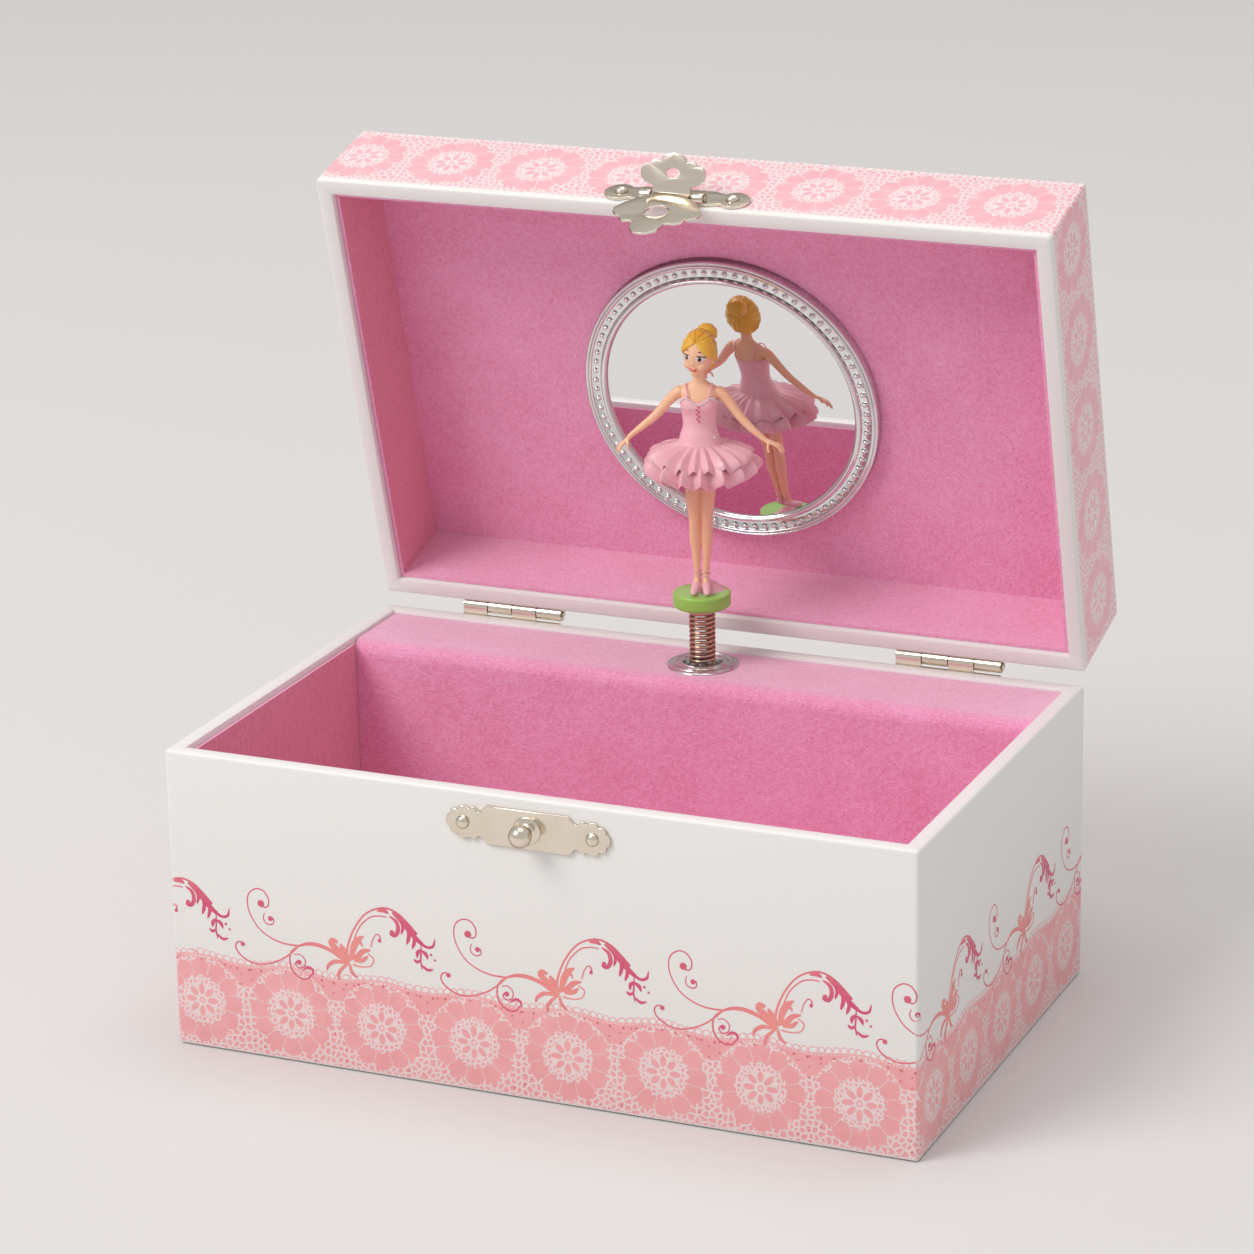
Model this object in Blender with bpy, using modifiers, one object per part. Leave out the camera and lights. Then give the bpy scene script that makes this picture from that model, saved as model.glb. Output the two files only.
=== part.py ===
"""Wind-up music box: a papered box with a hinged lid, a mirror and a ballerina turned by clockwork.

Lengths are millimetres until a mesh is stored, which is in metres. The origin is the centre of the
underside, +X is to the right of someone facing the front, +Y runs to the back and +Z is up. The lid
is modelled closed and then turned open about its hinge by the empty that carries it.
"""

import math

import bmesh
import bpy
from mathutils import Matrix, Vector

MM = 0.001
WELD = 1e-5

# Box
WIDTH = 152.0
DEPTH = 96.0
BASE_HEIGHT = 60.5
LID_HEIGHT = 22.0
SEAM = 0.3
PAPER = 0.3
BOARD = 2.5
FIT = 0.1
TURN_IN = 8.0
LINING = 0.7
LINING_DROP = 1.2
FELT = 0.8
BOARD_FOOT = 0.3
BOTTOM_BOARD_Z = FELT + FIT

# Lid hinge
LID_OPEN_DEG = 75.0
HINGE_BARREL_R = 1.45
LEAF = 0.5
HINGE_Y = DEPTH / 2 + FIT + HINGE_BARREL_R
HINGE_Z = 62.0
HINGE_X = 47.5
HINGE_LENGTH = 22.0
HINGE_PIN_R = 0.6
HINGE_LEAF_LOW_Z = 52.4
HINGE_LEAF_HIGH_Z = 71.6
HINGE_SCREW_OFFSET = 6.0
HINGE_SCREW_LOW_Z = 55.6
HINGE_SCREW_HIGH_Z = 68.4
HINGE_SCREW_XS = [
    side * HINGE_X + offset for side in (-1, 1) for offset in (-HINGE_SCREW_OFFSET, HINGE_SCREW_OFFSET)
]

# Ledge over the movement
LEDGE_Z = 59.8
LEDGE_FRONT_Y = 25.0
LEDGE_THICK = 1.8
LEDGE_ROUND = 3.0

# Ballerina; heights are above the ledge
FIGURE_Y = 36.2
FIGURE_YAW_DEG = 17.0
EYELET_R = 7.2
EYELET_HOLE_R = 3.75
SPRING_R = 2.3
SPRING_WIRE_R = 0.36
SPRING_TURNS = 11
SPRING_TOP = 11.5
DISC_R = 5.8
DISC_LOW = 12.1
DISC_HIGH = 15.3

# Mirror on the lid's ceiling
MIRROR_Y = 3.8
MIRROR_R = 31.3
MIRROR_SIGHT_R = 26.5
MIRROR_PROUD = 3.0

# Clasp and latch
METAL = 0.6
LATCH_Z = 54.5
LATCH_SCREW_X = 13.1
CLASP_SCREW_X = 11.5
CLASP_SCREW_Z = 64.4
CLASP_KNUCKLE_R = 1.25
CLASP_PIN_R = 0.45
CLASP_PIN_Y = -DEPTH / 2 - FIT - CLASP_KNUCKLE_R
CLASP_PIN_Z = 62.5
STUD_R = 1.95
HASP_HOLE_R = 2.4
HASP_METAL = 0.5
HASP_FRONT = 1.0
HASP_BEND_DEG = 60.0

# Right halves of the metal outlines, as (across, up) from the plate's middle, or (across, out) from the pin
LATCH_EDGE = (
    (8.3, -3.8), (8.9, -3.1), (9.6, -2.5), (10.6, -2.3), (11.5, -2.75), (12.6, -2.9), (13.6, -2.5),
    (14.6, -2.4), (15.7, -1.6), (16.3, -0.8), (16.5, 0.0), (16.3, 0.8), (15.7, 1.6), (14.6, 2.4),
    (13.6, 2.5), (12.6, 2.9), (11.5, 2.75), (10.6, 2.3), (9.6, 2.5), (8.9, 3.1), (8.3, 3.8),
)
EAR_EDGE = (
    (4.15, -0.6), (4.15, -2.6), (7.2, -2.6), (8.5, -2.1), (9.6, -1.9), (10.6, -2.6), (12.0, -2.9),
    (13.6, -2.3), (14.6, -1.2), (15.0, 0.0), (14.6, 1.2), (13.6, 2.3), (12.0, 2.9), (10.6, 2.6),
    (9.6, 1.9), (8.5, 2.1), (7.2, 2.6),
)
UPPER_WING = (
    (3.9, 0.2), (3.9, 1.9), (5.7, 2.5), (6.6, 3.6), (6.7, 4.8), (6.0, 5.8), (4.9, 6.0), (4.5, 6.6),
    (3.4, 6.8), (2.6, 6.5), (2.4, 7.3), (1.5, 8.0), (0.0, 8.3),
)
LOWER_WING = (
    (3.9, 0.2), (3.9, 2.0), (5.6, 2.9), (7.7, 5.2), (9.0, 7.7), (8.6, 9.2), (7.5, 10.2), (6.7, 10.3),
    (6.4, 11.5), (5.2, 12.4), (4.0, 12.2), (3.2, 12.5), (3.1, 14.0), (2.6, 15.4), (1.4, 16.5), (0.0, 16.8),
)

# The doll; heights are above the ledge
DANCER = (
    # joint name, joint it hangs from, (x, y, height), radius
    ("hips", None, (0.0, 0.0, 43.0), 2.6),
    ("waist", "hips", (0.0, 0.0, 50.5), 2.0),
    ("bust", "waist", (0.0, -0.3, 54.4), 2.5),
    ("collar", "bust", (0.0, 0.1, 57.2), 2.1),
    ("neck", "collar", (0.0, 0.2, 59.4), 1.0),
    ("chin", "neck", (0.0, -0.2, 61.2), 2.2),
    ("head", "chin", (0.0, 0.0, 64.6), 3.3),
    ("crown", "head", (0.0, 0.5, 67.6), 1.9),
    ("knee", "hips", (0.0, 0.0, 30.0), 2.2),
    ("ankle", "knee", (0.0, 0.0, 19.5), 1.5),
    ("toe", "ankle", (0.0, -0.3, 16.6), 2.3),
    ("left_shoulder", "collar", (-3.6, 0.2, 56.4), 1.1),
    ("left_elbow", "left_shoulder", (-8.2, -0.3, 51.8), 0.95),
    ("left_wrist", "left_elbow", (-12.4, -1.2, 47.7), 0.75),
    ("left_hand", "left_wrist", (-14.6, -1.6, 45.6), 0.7),
    ("right_shoulder", "collar", (3.6, 0.2, 56.4), 1.1),
    ("right_elbow", "right_shoulder", (8.2, -0.3, 51.8), 0.95),
    ("right_wrist", "right_elbow", (12.4, -1.2, 47.7), 0.75),
    ("right_hand", "right_wrist", (14.6, -1.6, 45.6), 0.7),
)

# Movement
CYLINDER_Z = 38.0
CYLINDER_R = 5.5
CYLINDER_X = (10.0, 30.0)
NOTES = 18
GOLDEN_ANGLE = 2.39996
BEDPLATE_Y = (42.6, 44.5)
BARREL_X = 47.0
CROWN_TEETH = 16
CROWN_R = 5.0
SPINDLE_TEETH = 8
BARREL_TEETH = 24
BARREL_CROWN_R = 12.0
ARBOR_TEETH = 6
WHEEL_TEETH = 24
WHEEL_R = 5.8
GOVERNOR_PINION_TEETH = 8
WORM_WHEEL_TEETH = 16
WORM_WHEEL_R = 3.2
WORM_AXIS_OFFSET = 4.6
WHEEL_X = (3.3, 5.9)
SPUR_X = 4.5
CROWN_DEPTH = 1.3
POST_X = (6.4, 7.6)
WORM_X = 8.8
COMB_SCREW_Z = 16.5
COMB_SCREW_XS = (14.0, 26.0)

# Derived
HALF_W = WIDTH / 2
HALF_D = DEPTH / 2
WALL_OUT = PAPER + FIT
WALL_IN = WALL_OUT + BOARD
RIM = WALL_IN + FIT + PAPER
LINING_OUT = RIM + FIT
LID_RIM_Z = BASE_HEIGHT + SEAM
LID_TOP_Z = LID_RIM_Z + LID_HEIGHT
CEILING_Z = LID_TOP_Z - WALL_IN - FIT - LINING
GOVERNOR_PINION_R = WHEEL_R * GOVERNOR_PINION_TEETH / WHEEL_TEETH
GOVERNOR_Z = CYLINDER_Z + WHEEL_R + GOVERNOR_PINION_R
WORM_Y = FIGURE_Y - WORM_AXIS_OFFSET
ARBOR_X_END = BARREL_X - BARREL_CROWN_R + 1.1

# Turns from a drawing's axes to the box's: onto the front face, and from +Z to a named axis
FACE_FRONT = Matrix(((1, 0, 0, 0), (0, 0, -1, 0), (0, 1, 0, 0), (0, 0, 0, 1)))
TURN_TO = {
    "X": Matrix.Rotation(math.pi / 2, 4, "Y"),
    "Y": Matrix.Rotation(-math.pi / 2, 4, "X"),
    "-Y": Matrix.Rotation(math.pi / 2, 4, "X"),
    "Z": Matrix(),
}


def clear_scene():
    for obj in list(bpy.data.objects):
        bpy.data.objects.remove(obj, do_unlink=True)


def collection(name):
    made = bpy.data.collections.new(name)
    bpy.context.scene.collection.children.link(made)
    return made


def material(name, colour, roughness, metallic=0.0):
    made = bpy.data.materials.new(name)
    made.use_nodes = True
    shader = made.node_tree.nodes["Principled BSDF"]
    shader.inputs["Base Color"].default_value = (*colour, 1.0)
    shader.inputs["Roughness"].default_value = roughness
    shader.inputs["Metallic"].default_value = metallic
    made.diffuse_color = (*colour, 1.0)
    return made


def pivot(name, point, tilt_deg=0.0):
    """An empty on a joint's axis, turned about +X."""
    empty = bpy.data.objects.new(name, None)
    PARTS.objects.link(empty)
    empty.location = Vector(point) * MM
    empty.rotation_euler = (math.radians(tilt_deg), 0.0, 0.0)
    return empty


def place(obj, matrix=None, parent=None):
    """Puts an object by a matrix in millimetres, as if its parent stood unturned."""
    matrix = matrix.copy() if matrix else Matrix()
    matrix.translation *= MM
    obj.matrix_basis = matrix
    if parent:
        obj.parent = parent
        obj.matrix_parent_inverse = Matrix.Translation(-parent.location)
    return obj


def store(name, bm, finish, home=None):
    bmesh.ops.scale(bm, vec=(MM, MM, MM), verts=bm.verts)
    bmesh.ops.recalc_face_normals(bm, faces=bm.faces)
    mesh = bpy.data.meshes.new(name)
    bm.to_mesh(mesh)
    bm.free()
    obj = bpy.data.objects.new(name, mesh)
    (home or PARTS).objects.link(obj)
    if finish:
        mesh.materials.append(finish)
    return obj


def hide(obj):
    """Makes an object a helper, which a boolean uses and a render leaves out."""
    for home in list(obj.users_collection):
        home.objects.unlink(obj)
    CUTTERS.objects.link(obj)
    obj.hide_render = True
    obj.display_type = "WIRE"
    return obj


def boolean(obj, other, operation):
    modifier = obj.modifiers.new(operation.title(), "BOOLEAN")
    modifier.operation = operation
    modifier.object = hide(other)
    return obj


def cut(obj, other):
    return boolean(obj, other, "DIFFERENCE")


def join(obj, *others):
    for other in others:
        boolean(obj, other, "UNION")
    return obj


def round_edges(obj, width, segments=2, limit_deg=40.0):
    bevel = obj.modifiers.new("Bevel", "BEVEL")
    bevel.width = width * MM
    bevel.segments = segments
    bevel.limit_method = "ANGLE"
    bevel.angle_limit = math.radians(limit_deg)
    return obj


def smooth(obj, angle_deg=40.0):
    obj.data.shade_smooth()
    obj.data.set_sharp_from_angle(angle=math.radians(angle_deg))
    return obj


def box(name, low, high, finish=None, parent=None):
    bm = bmesh.new()
    bmesh.ops.create_cube(bm, size=1.0)
    low = Vector(low)
    high = Vector(high)
    bmesh.ops.scale(bm, vec=high - low, verts=bm.verts)
    bmesh.ops.translate(bm, vec=(low + high) / 2, verts=bm.verts)
    return place(store(name, bm, finish), parent=parent)


def rods(name, starts, axis, length, radius, finish=None, parent=None, segments=16):
    """Equal cylinders, each from its start point along the axis, as one mesh."""
    bm = bmesh.new()
    for start in starts:
        matrix = Matrix.Translation(start) @ TURN_TO[axis] @ Matrix.Translation((0, 0, length / 2))
        bmesh.ops.create_cone(
            bm, cap_ends=True, segments=segments, radius1=radius, radius2=radius, depth=length, matrix=matrix
        )
    return smooth(place(store(name, bm, finish), parent=parent))


def rod(name, start, axis, length, radius, finish=None, parent=None, segments=16):
    return rods(name, [start], axis, length, radius, finish, parent, segments)


def turned(name, profile, start, axis, finish=None, parent=None, segments=24, ring=False):
    """A profile of (radius, height) points, listed down its outer side, turned about an axis."""
    bm = bmesh.new()
    verts = [bm.verts.new((radius, 0.0, height)) for radius, height in profile]
    pairs = list(zip(verts, verts[1:]))
    if ring:
        pairs.append((verts[-1], verts[0]))
    for pair in pairs:
        bm.edges.new(pair)
    obj = store(name, bm, finish)
    screw = obj.modifiers.new("Screw", "SCREW")
    screw.axis = "Z"
    screw.steps = segments
    screw.render_steps = segments
    screw.use_merge_vertices = True
    screw.merge_threshold = WELD
    screw.use_smooth_shade = True
    return place(obj, Matrix.Translation(start) @ TURN_TO[axis], parent)


def plate(name, loops, thickness, matrix, finish=None, parent=None):
    """A flat outline with holes, drawn in the local XY plane and thickened along local +Z from 0."""
    data = bpy.data.curves.new(name, "CURVE")
    data.dimensions = "2D"
    data.fill_mode = "BOTH"
    data.extrude = thickness / 2 * MM
    for loop in loops:
        spline = data.splines.new("POLY")
        spline.points.add(len(loop) - 1)
        spline.use_cyclic_u = True
        for point, (x, y) in zip(spline.points, loop):
            point.co = (x * MM, y * MM, 0.0, 1.0)
    bm = drawn_mesh(data)
    bmesh.ops.translate(bm, vec=(0, 0, thickness / 2), verts=bm.verts)
    return place(store(name, bm, finish), matrix, parent)


def helix(radius, low, rise, turns, per_turn):
    count = turns * per_turn
    angles = [2 * math.pi * i / per_turn for i in range(count + 1)]
    heights = [low + rise * i / count for i in range(count + 1)]
    return [(radius * math.cos(a), radius * math.sin(a), z) for a, z in zip(angles, heights)]


def curve_solid(name, points, radius, centre, finish=None):
    """A four-sided tube along the points, made a mesh with its caps welded."""
    data = bpy.data.curves.new(name, "CURVE")
    data.dimensions = "3D"
    data.bevel_depth = radius * MM
    data.bevel_resolution = 0
    data.use_fill_caps = True
    spline = data.splines.new("POLY")
    spline.points.add(len(points) - 1)
    for point, (x, y, z) in zip(spline.points, points):
        point.co = ((centre[0] + x) * MM, (centre[1] + y) * MM, z * MM, 1.0)
    return place(store(name, drawn_mesh(data), finish))


def drawn_mesh(data):
    """The welded mesh of a curve, in millimetres; the curve itself goes."""
    drawn = bpy.data.objects.new("drawn", data)
    PARTS.objects.link(drawn)
    graph = bpy.context.evaluated_depsgraph_get()
    mesh = bpy.data.meshes.new_from_object(drawn.evaluated_get(graph))
    bpy.data.objects.remove(drawn, do_unlink=True)
    bm = bmesh.new()
    bm.from_mesh(mesh)
    bmesh.ops.remove_doubles(bm, verts=bm.verts, dist=WELD)
    bmesh.ops.scale(bm, vec=(1 / MM, 1 / MM, 1 / MM), verts=bm.verts)
    return bm


def arc(centre, radius, start_deg, end_deg, steps):
    angles = [math.radians(start_deg + (end_deg - start_deg) * i / steps) for i in range(steps + 1)]
    return [(centre[0] + radius * math.cos(a), centre[1] + radius * math.sin(a)) for a in angles]


def circle(centre, radius, steps=16):
    return arc(centre, radius, 0, 360, steps)[:-1]


def mirrored(points):
    """A right-hand outline, listed upwards, closed with its mirror image in x = 0."""
    return points + [(-x, y) for x, y in reversed(points) if x > 0]


def rect_loft(name, profile, finish, closed, parent=None):
    """Rectangles about the Z axis, each inset from the box's outline at a height, joined in order."""
    bm = bmesh.new()
    rings = []
    for inset, z in profile:
        x = HALF_W - inset
        y = HALF_D - inset
        rings.append([bm.verts.new(corner) for corner in ((-x, -y, z), (x, -y, z), (x, y, z), (-x, y, z))])
    pairs = list(zip(rings, rings[1:]))
    if closed:
        pairs.append((rings[-1], rings[0]))
    else:
        bm.faces.new(rings[0])
        bm.faces.new(rings[-1])
    for low, high in pairs:
        for i in range(4):
            bm.faces.new((low[i], low[(i + 1) % 4], high[(i + 1) % 4], high[i]))
    return place(store(name, bm, finish), parent=parent)


def gear_outline(teeth, pitch_radius, depth, share=0.42, phase=0.0):
    """Teeth of trapezoid shape; share is the part of the pitch that a tooth fills at the pitch circle."""
    step = 2 * math.pi / teeth
    corners = ((-0.62, -depth / 2), (-0.34, depth / 2), (0.34, depth / 2), (0.62, -depth / 2))
    points = []
    for tooth in range(teeth):
        for across, out in corners:
            angle = (tooth + phase + across * share) * step
            radius = pitch_radius + out
            points.append((radius * math.cos(angle), radius * math.sin(angle)))
    return points


def crown_teeth(name, teeth, radius, face, depth, share, base, axis, phase=0.0):
    """Blocks standing on a wheel's face, for a pinion whose axis crosses the wheel's at a right angle."""
    bm = bmesh.new()
    width = 2 * math.pi * radius / teeth * share
    for tooth in range(teeth):
        turn = Matrix.Rotation((tooth + phase) * 2 * math.pi / teeth, 4, "Z")
        matrix = turn @ Matrix.Translation((radius, 0, depth / 2)) @ Matrix.Diagonal((face, width, depth, 1))
        bmesh.ops.create_cube(bm, size=1.0, matrix=matrix)
    return place(store(name, bm, None), Matrix.Translation(base) @ TURN_TO[axis])


# ---------------------------------------------------------------- box


def make_base():
    top = BASE_HEIGHT - WALL_OUT
    out_x = HALF_W - WALL_OUT
    in_x = HALF_W - WALL_IN
    out_y = HALF_D - WALL_OUT
    in_y = HALF_D - WALL_IN
    front = box("base_front_board", (-out_x, -out_y, BOARD_FOOT), (out_x, -in_y, top), CARDBOARD)
    back = box("base_back_board", (-out_x, in_y, BOARD_FOOT), (out_x, out_y, top), CARDBOARD)
    for side, name in ((-1, "base_left_board"), (1, "base_right_board")):
        xs = sorted((side * in_x, side * out_x))
        box(name, (xs[0], FIT - in_y, BOARD_FOOT), (xs[1], in_y - FIT, top), CARDBOARD)
    inner = (in_x - FIT, in_y - FIT)
    box(
        "base_bottom_board",
        (-inner[0], -inner[1], BOTTOM_BOARD_Z),
        (inner[0], inner[1], BOTTOM_BOARD_Z + BOARD),
        CARDBOARD,
    )
    felt = box("bottom_felt", (-inner[0], -inner[1], 0), (inner[0], inner[1], FELT), FELT_SHEET)
    round_edges(felt, 0.2, 1)
    paper = rect_loft(
        "base_paper_wrap",
        [
            (0.0, FIT * 2),
            (0.0, BASE_HEIGHT),
            (RIM, BASE_HEIGHT),
            (RIM, BASE_HEIGHT - TURN_IN),
            (RIM - PAPER, BASE_HEIGHT - TURN_IN),
            (RIM - PAPER, BASE_HEIGHT - PAPER),
            (PAPER, BASE_HEIGHT - PAPER),
            (PAPER, FIT * 2),
        ],
        PRINTED_PAPER,
        closed=True,
    )
    screw_holes = [(x, -HALF_D - 1, LATCH_Z) for x in (-LATCH_SCREW_X, LATCH_SCREW_X)]
    stud_hole = [(0, -HALF_D - 1, LATCH_Z)]
    for obj in (front, paper):
        cut(obj, rods(obj.name + "_latch_holes", screw_holes + stud_hole, "Y", 4.5, 1.0, segments=12))
    for obj in (back, paper):
        starts = [(x, HALF_D - 4, HINGE_SCREW_LOW_Z) for x in HINGE_SCREW_XS]
        cut(obj, rods(obj.name + "_hinge_holes", starts, "Y", 6, 0.8, segments=6))
        cut(obj, rod(obj.name + "_key_hole", (BARREL_X, HALF_D - 8, CYLINDER_Z), "Y", 10, 2.6, segments=20))
    lining = box(
        "compartment_lining",
        (LINING_OUT - HALF_W, LINING_OUT - HALF_D, BOTTOM_BOARD_Z + BOARD + FIT),
        (HALF_W - LINING_OUT, LEDGE_FRONT_Y - 0.2, BASE_HEIGHT - LINING_DROP),
        FLOCK,
    )
    inside = LINING_OUT + LINING
    cut(
        lining,
        box(
            "compartment_hollow",
            (inside - HALF_W, inside - HALF_D, BOTTOM_BOARD_Z + BOARD + FIT + LINING),
            (HALF_W - inside, LEDGE_FRONT_Y + 5, BASE_HEIGHT + 5),
        ),
    )


def make_ledge():
    """The flocked card over the movement: a partition, a rounded edge and a shelf in one bent sheet."""
    back_y = HALF_D - RIM - FIT
    foot = BOTTOM_BOARD_Z + BOARD + FIT * 2
    outer = arc((LEDGE_FRONT_Y + LEDGE_ROUND, LEDGE_Z - LEDGE_ROUND), LEDGE_ROUND, 180, 90, 6)
    inner_round = LEDGE_ROUND - LEDGE_THICK
    inner = arc((LEDGE_FRONT_Y + LEDGE_ROUND, LEDGE_Z - LEDGE_ROUND), inner_round, 90, 180, 4)
    outline = [(LEDGE_FRONT_Y, foot)] + outer + [(back_y, LEDGE_Z), (back_y, LEDGE_Z - LEDGE_THICK)]
    outline += inner + [(LEDGE_FRONT_Y + LEDGE_THICK, foot)]
    half = HALF_W - RIM - FIT * 2
    # local x, y and z of the drawing become world y, z and x
    turn = Matrix(((0, 0, 1, -half), (1, 0, 0, 0), (0, 1, 0, 0), (0, 0, 0, 1)))
    ledge = plate("ledge_cover", [outline], 2 * half, turn, FLOCK)
    cut(ledge, rod("eyelet_hole", (0, FIGURE_Y, LEDGE_Z - 5), "Z", 10, 4.7, segments=20))
    profile = [
        (EYELET_HOLE_R, 0.9),
        (EYELET_R - 1.2, 0.9),
        (EYELET_R, 0.5),
        (EYELET_R, 0.0),
        (4.4, 0.0),
        (4.4, -2.6),
        (EYELET_HOLE_R, -2.6),
    ]
    turned("ledge_eyelet", profile, (0, FIGURE_Y, LEDGE_Z + FIT), "Z", SILVER, ring=True)


# ---------------------------------------------------------------- lid


def make_lid(lid):
    out_x = HALF_W - WALL_OUT
    in_x = HALF_W - WALL_IN
    out_y = HALF_D - WALL_OUT
    in_y = HALF_D - WALL_IN
    low = LID_RIM_Z + WALL_OUT
    high = LID_TOP_Z - WALL_IN - FIT
    top_z = LID_TOP_Z - WALL_IN
    box("lid_top_board", (-out_x, -out_y, top_z), (out_x, out_y, top_z + BOARD), CARDBOARD, lid)
    front = box("lid_front_board", (-out_x, -out_y, low), (out_x, -in_y, high), CARDBOARD, lid)
    back = box("lid_back_board", (-out_x, in_y, low), (out_x, out_y, high), CARDBOARD, lid)
    for side, name in ((-1, "lid_left_board"), (1, "lid_right_board")):
        xs = sorted((side * in_x, side * out_x))
        box(name, (xs[0], FIT - in_y, low), (xs[1], in_y - FIT, high), CARDBOARD, lid)
    paper = rect_loft(
        "lid_paper_wrap",
        [
            (PAPER, LID_TOP_Z - PAPER),
            (PAPER, LID_RIM_Z + PAPER),
            (RIM - PAPER, LID_RIM_Z + PAPER),
            (RIM - PAPER, LID_RIM_Z + TURN_IN),
            (RIM, LID_RIM_Z + TURN_IN),
            (RIM, LID_RIM_Z),
            (0.0, LID_RIM_Z),
            (0.0, LID_TOP_Z),
        ],
        PRINTED_PAPER,
        closed=False,
        parent=lid,
    )
    for obj in (front, paper):
        starts = [(x, -HALF_D - 1, CLASP_SCREW_Z) for x in (-CLASP_SCREW_X, CLASP_SCREW_X)]
        cut(obj, rods(obj.name + "_clasp_holes", starts, "Y", 4.5, 0.8, parent=lid, segments=6))
    for obj in (back, paper):
        starts = [(x, HALF_D - 4, HINGE_SCREW_HIGH_Z) for x in HINGE_SCREW_XS]
        cut(obj, rods(obj.name + "_hinge_holes", starts, "Y", 6, 0.8, parent=lid, segments=6))
    lining = box(
        "lid_lining",
        (LINING_OUT - HALF_W, LINING_OUT - HALF_D, LID_RIM_Z + LINING_DROP),
        (HALF_W - LINING_OUT, HALF_D - LINING_OUT, CEILING_Z + LINING),
        FLOCK,
        lid,
    )
    inside = LINING_OUT + LINING
    hollow = box(
        "lid_hollow",
        (inside - HALF_W, inside - HALF_D, LID_RIM_Z - 5),
        (HALF_W - inside, HALF_D - inside, CEILING_Z),
        parent=lid,
    )
    cut(lining, hollow)


def make_mirror(lid):
    """A beaded ring that holds a glass disc in its rebate; heights are below the lid's ceiling."""
    lip = 0.8
    rebate_r = MIRROR_SIGHT_R + 1.1
    profile = [
        (MIRROR_R, -FIT),
        (MIRROR_R, -MIRROR_PROUD + 0.7),
        (MIRROR_R - 0.8, -MIRROR_PROUD),
        (MIRROR_SIGHT_R + 0.5, -MIRROR_PROUD),
        (MIRROR_SIGHT_R, -MIRROR_PROUD + 0.4),
        (MIRROR_SIGHT_R, -MIRROR_PROUD + lip),
        (rebate_r, -MIRROR_PROUD + lip),
        (rebate_r, -FIT),
    ]
    centre = (0, MIRROR_Y, CEILING_Z)
    turned("mirror_frame", profile, centre, "Z", SILVER, lid, segments=40, ring=True)
    glass_low = -MIRROR_PROUD + lip + FIT
    glass = [(0, -2 * FIT), (rebate_r - 0.2, -2 * FIT), (rebate_r - 0.2, glass_low), (0, glass_low)]
    turned("mirror_glass", glass, centre, "Z", MIRROR, lid, segments=40)


# ---------------------------------------------------------------- hinges


def dome_screw(name, point, axis, head_r, head_h, shank_r, shank, parent=None):
    """A dome head facing along the axis, its underside at the point and its shank behind."""
    dome = [(head_r * math.sin(math.radians(a)), head_h * math.cos(math.radians(a))) for a in (0, 50, 90)]
    profile = dome + [(shank_r, 0.0), (shank_r, -shank), (0.0, -shank)]
    return turned(name, profile, point, axis, NICKEL, parent, segments=10)


def hinge_leaf(name, centre_x, knuckles, low, high, tab, parent):
    """A leaf on the back face with two of the barrel's four knuckles, numbered from the left."""
    left = centre_x - HINGE_LENGTH / 2
    pitch = HINGE_LENGTH / 4
    leaf_y = (HALF_D + FIT, HALF_D + FIT + LEAF)
    leaf = box(name, (left, leaf_y[0], low), (left + HINGE_LENGTH, leaf_y[1], high), NICKEL, parent)
    for number in knuckles:
        x = left + number * pitch + FIT
        start = (x, HINGE_Y, HINGE_Z)
        length = pitch - 2 * FIT
        knuckle = rod(f"{name}_knuckle_{number}", start, "X", length, HINGE_BARREL_R, None, parent, 14)
        root = box(
            f"{name}_root_{number}",
            (x, leaf_y[0] + 0.02, tab[0]),
            (x + length, leaf_y[1] - 0.02, tab[1]),
            parent=parent,
        )
        join(leaf, root, knuckle)
    start = (left - 1, HINGE_Y, HINGE_Z)
    bore = rod(name + "_bore", start, "X", HINGE_LENGTH + 2, HINGE_PIN_R + FIT, None, parent, 8)
    screw_z = HINGE_SCREW_LOW_Z if low < HINGE_Z - 3 else HINGE_SCREW_HIGH_Z
    starts = [(centre_x + x, HALF_D - 1, screw_z) for x in (-HINGE_SCREW_OFFSET, HINGE_SCREW_OFFSET)]
    cut(leaf, bore)
    cut(leaf, rods(name + "_holes", starts, "Y", 3, 0.8, None, parent, 6))
    for x, side in ((-HINGE_SCREW_OFFSET, "left"), (HINGE_SCREW_OFFSET, "right")):
        screw = name.replace("leaf", "screw") + "_" + side
        dome_screw(screw, (centre_x + x, leaf_y[1] + 0.05, screw_z), "Y", 1.5, 0.7, 0.6, 2.6, parent)


def make_hinges(lid):
    for x, side in ((-HINGE_X, "left"), (HINGE_X, "right")):
        clear = HINGE_BARREL_R + 0.2
        low_edge = HINGE_Z - clear
        high_edge = HINGE_Z + clear
        base_tab = (low_edge - 1, HINGE_Z)
        lid_tab = (HINGE_Z, high_edge + 1)
        hinge_leaf(f"hinge_{side}_base_leaf", x, (0, 2), HINGE_LEAF_LOW_Z, low_edge, base_tab, None)
        hinge_leaf(f"hinge_{side}_lid_leaf", x, (1, 3), high_edge, HINGE_LEAF_HIGH_Z, lid_tab, lid)
        start = (x - HINGE_LENGTH / 2 - 0.3, HINGE_Y, HINGE_Z)
        rod(f"hinge_{side}_pin", start, "X", HINGE_LENGTH + 0.6, HINGE_PIN_R, NICKEL, None, 8)


# ---------------------------------------------------------------- latch and clasp


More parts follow.
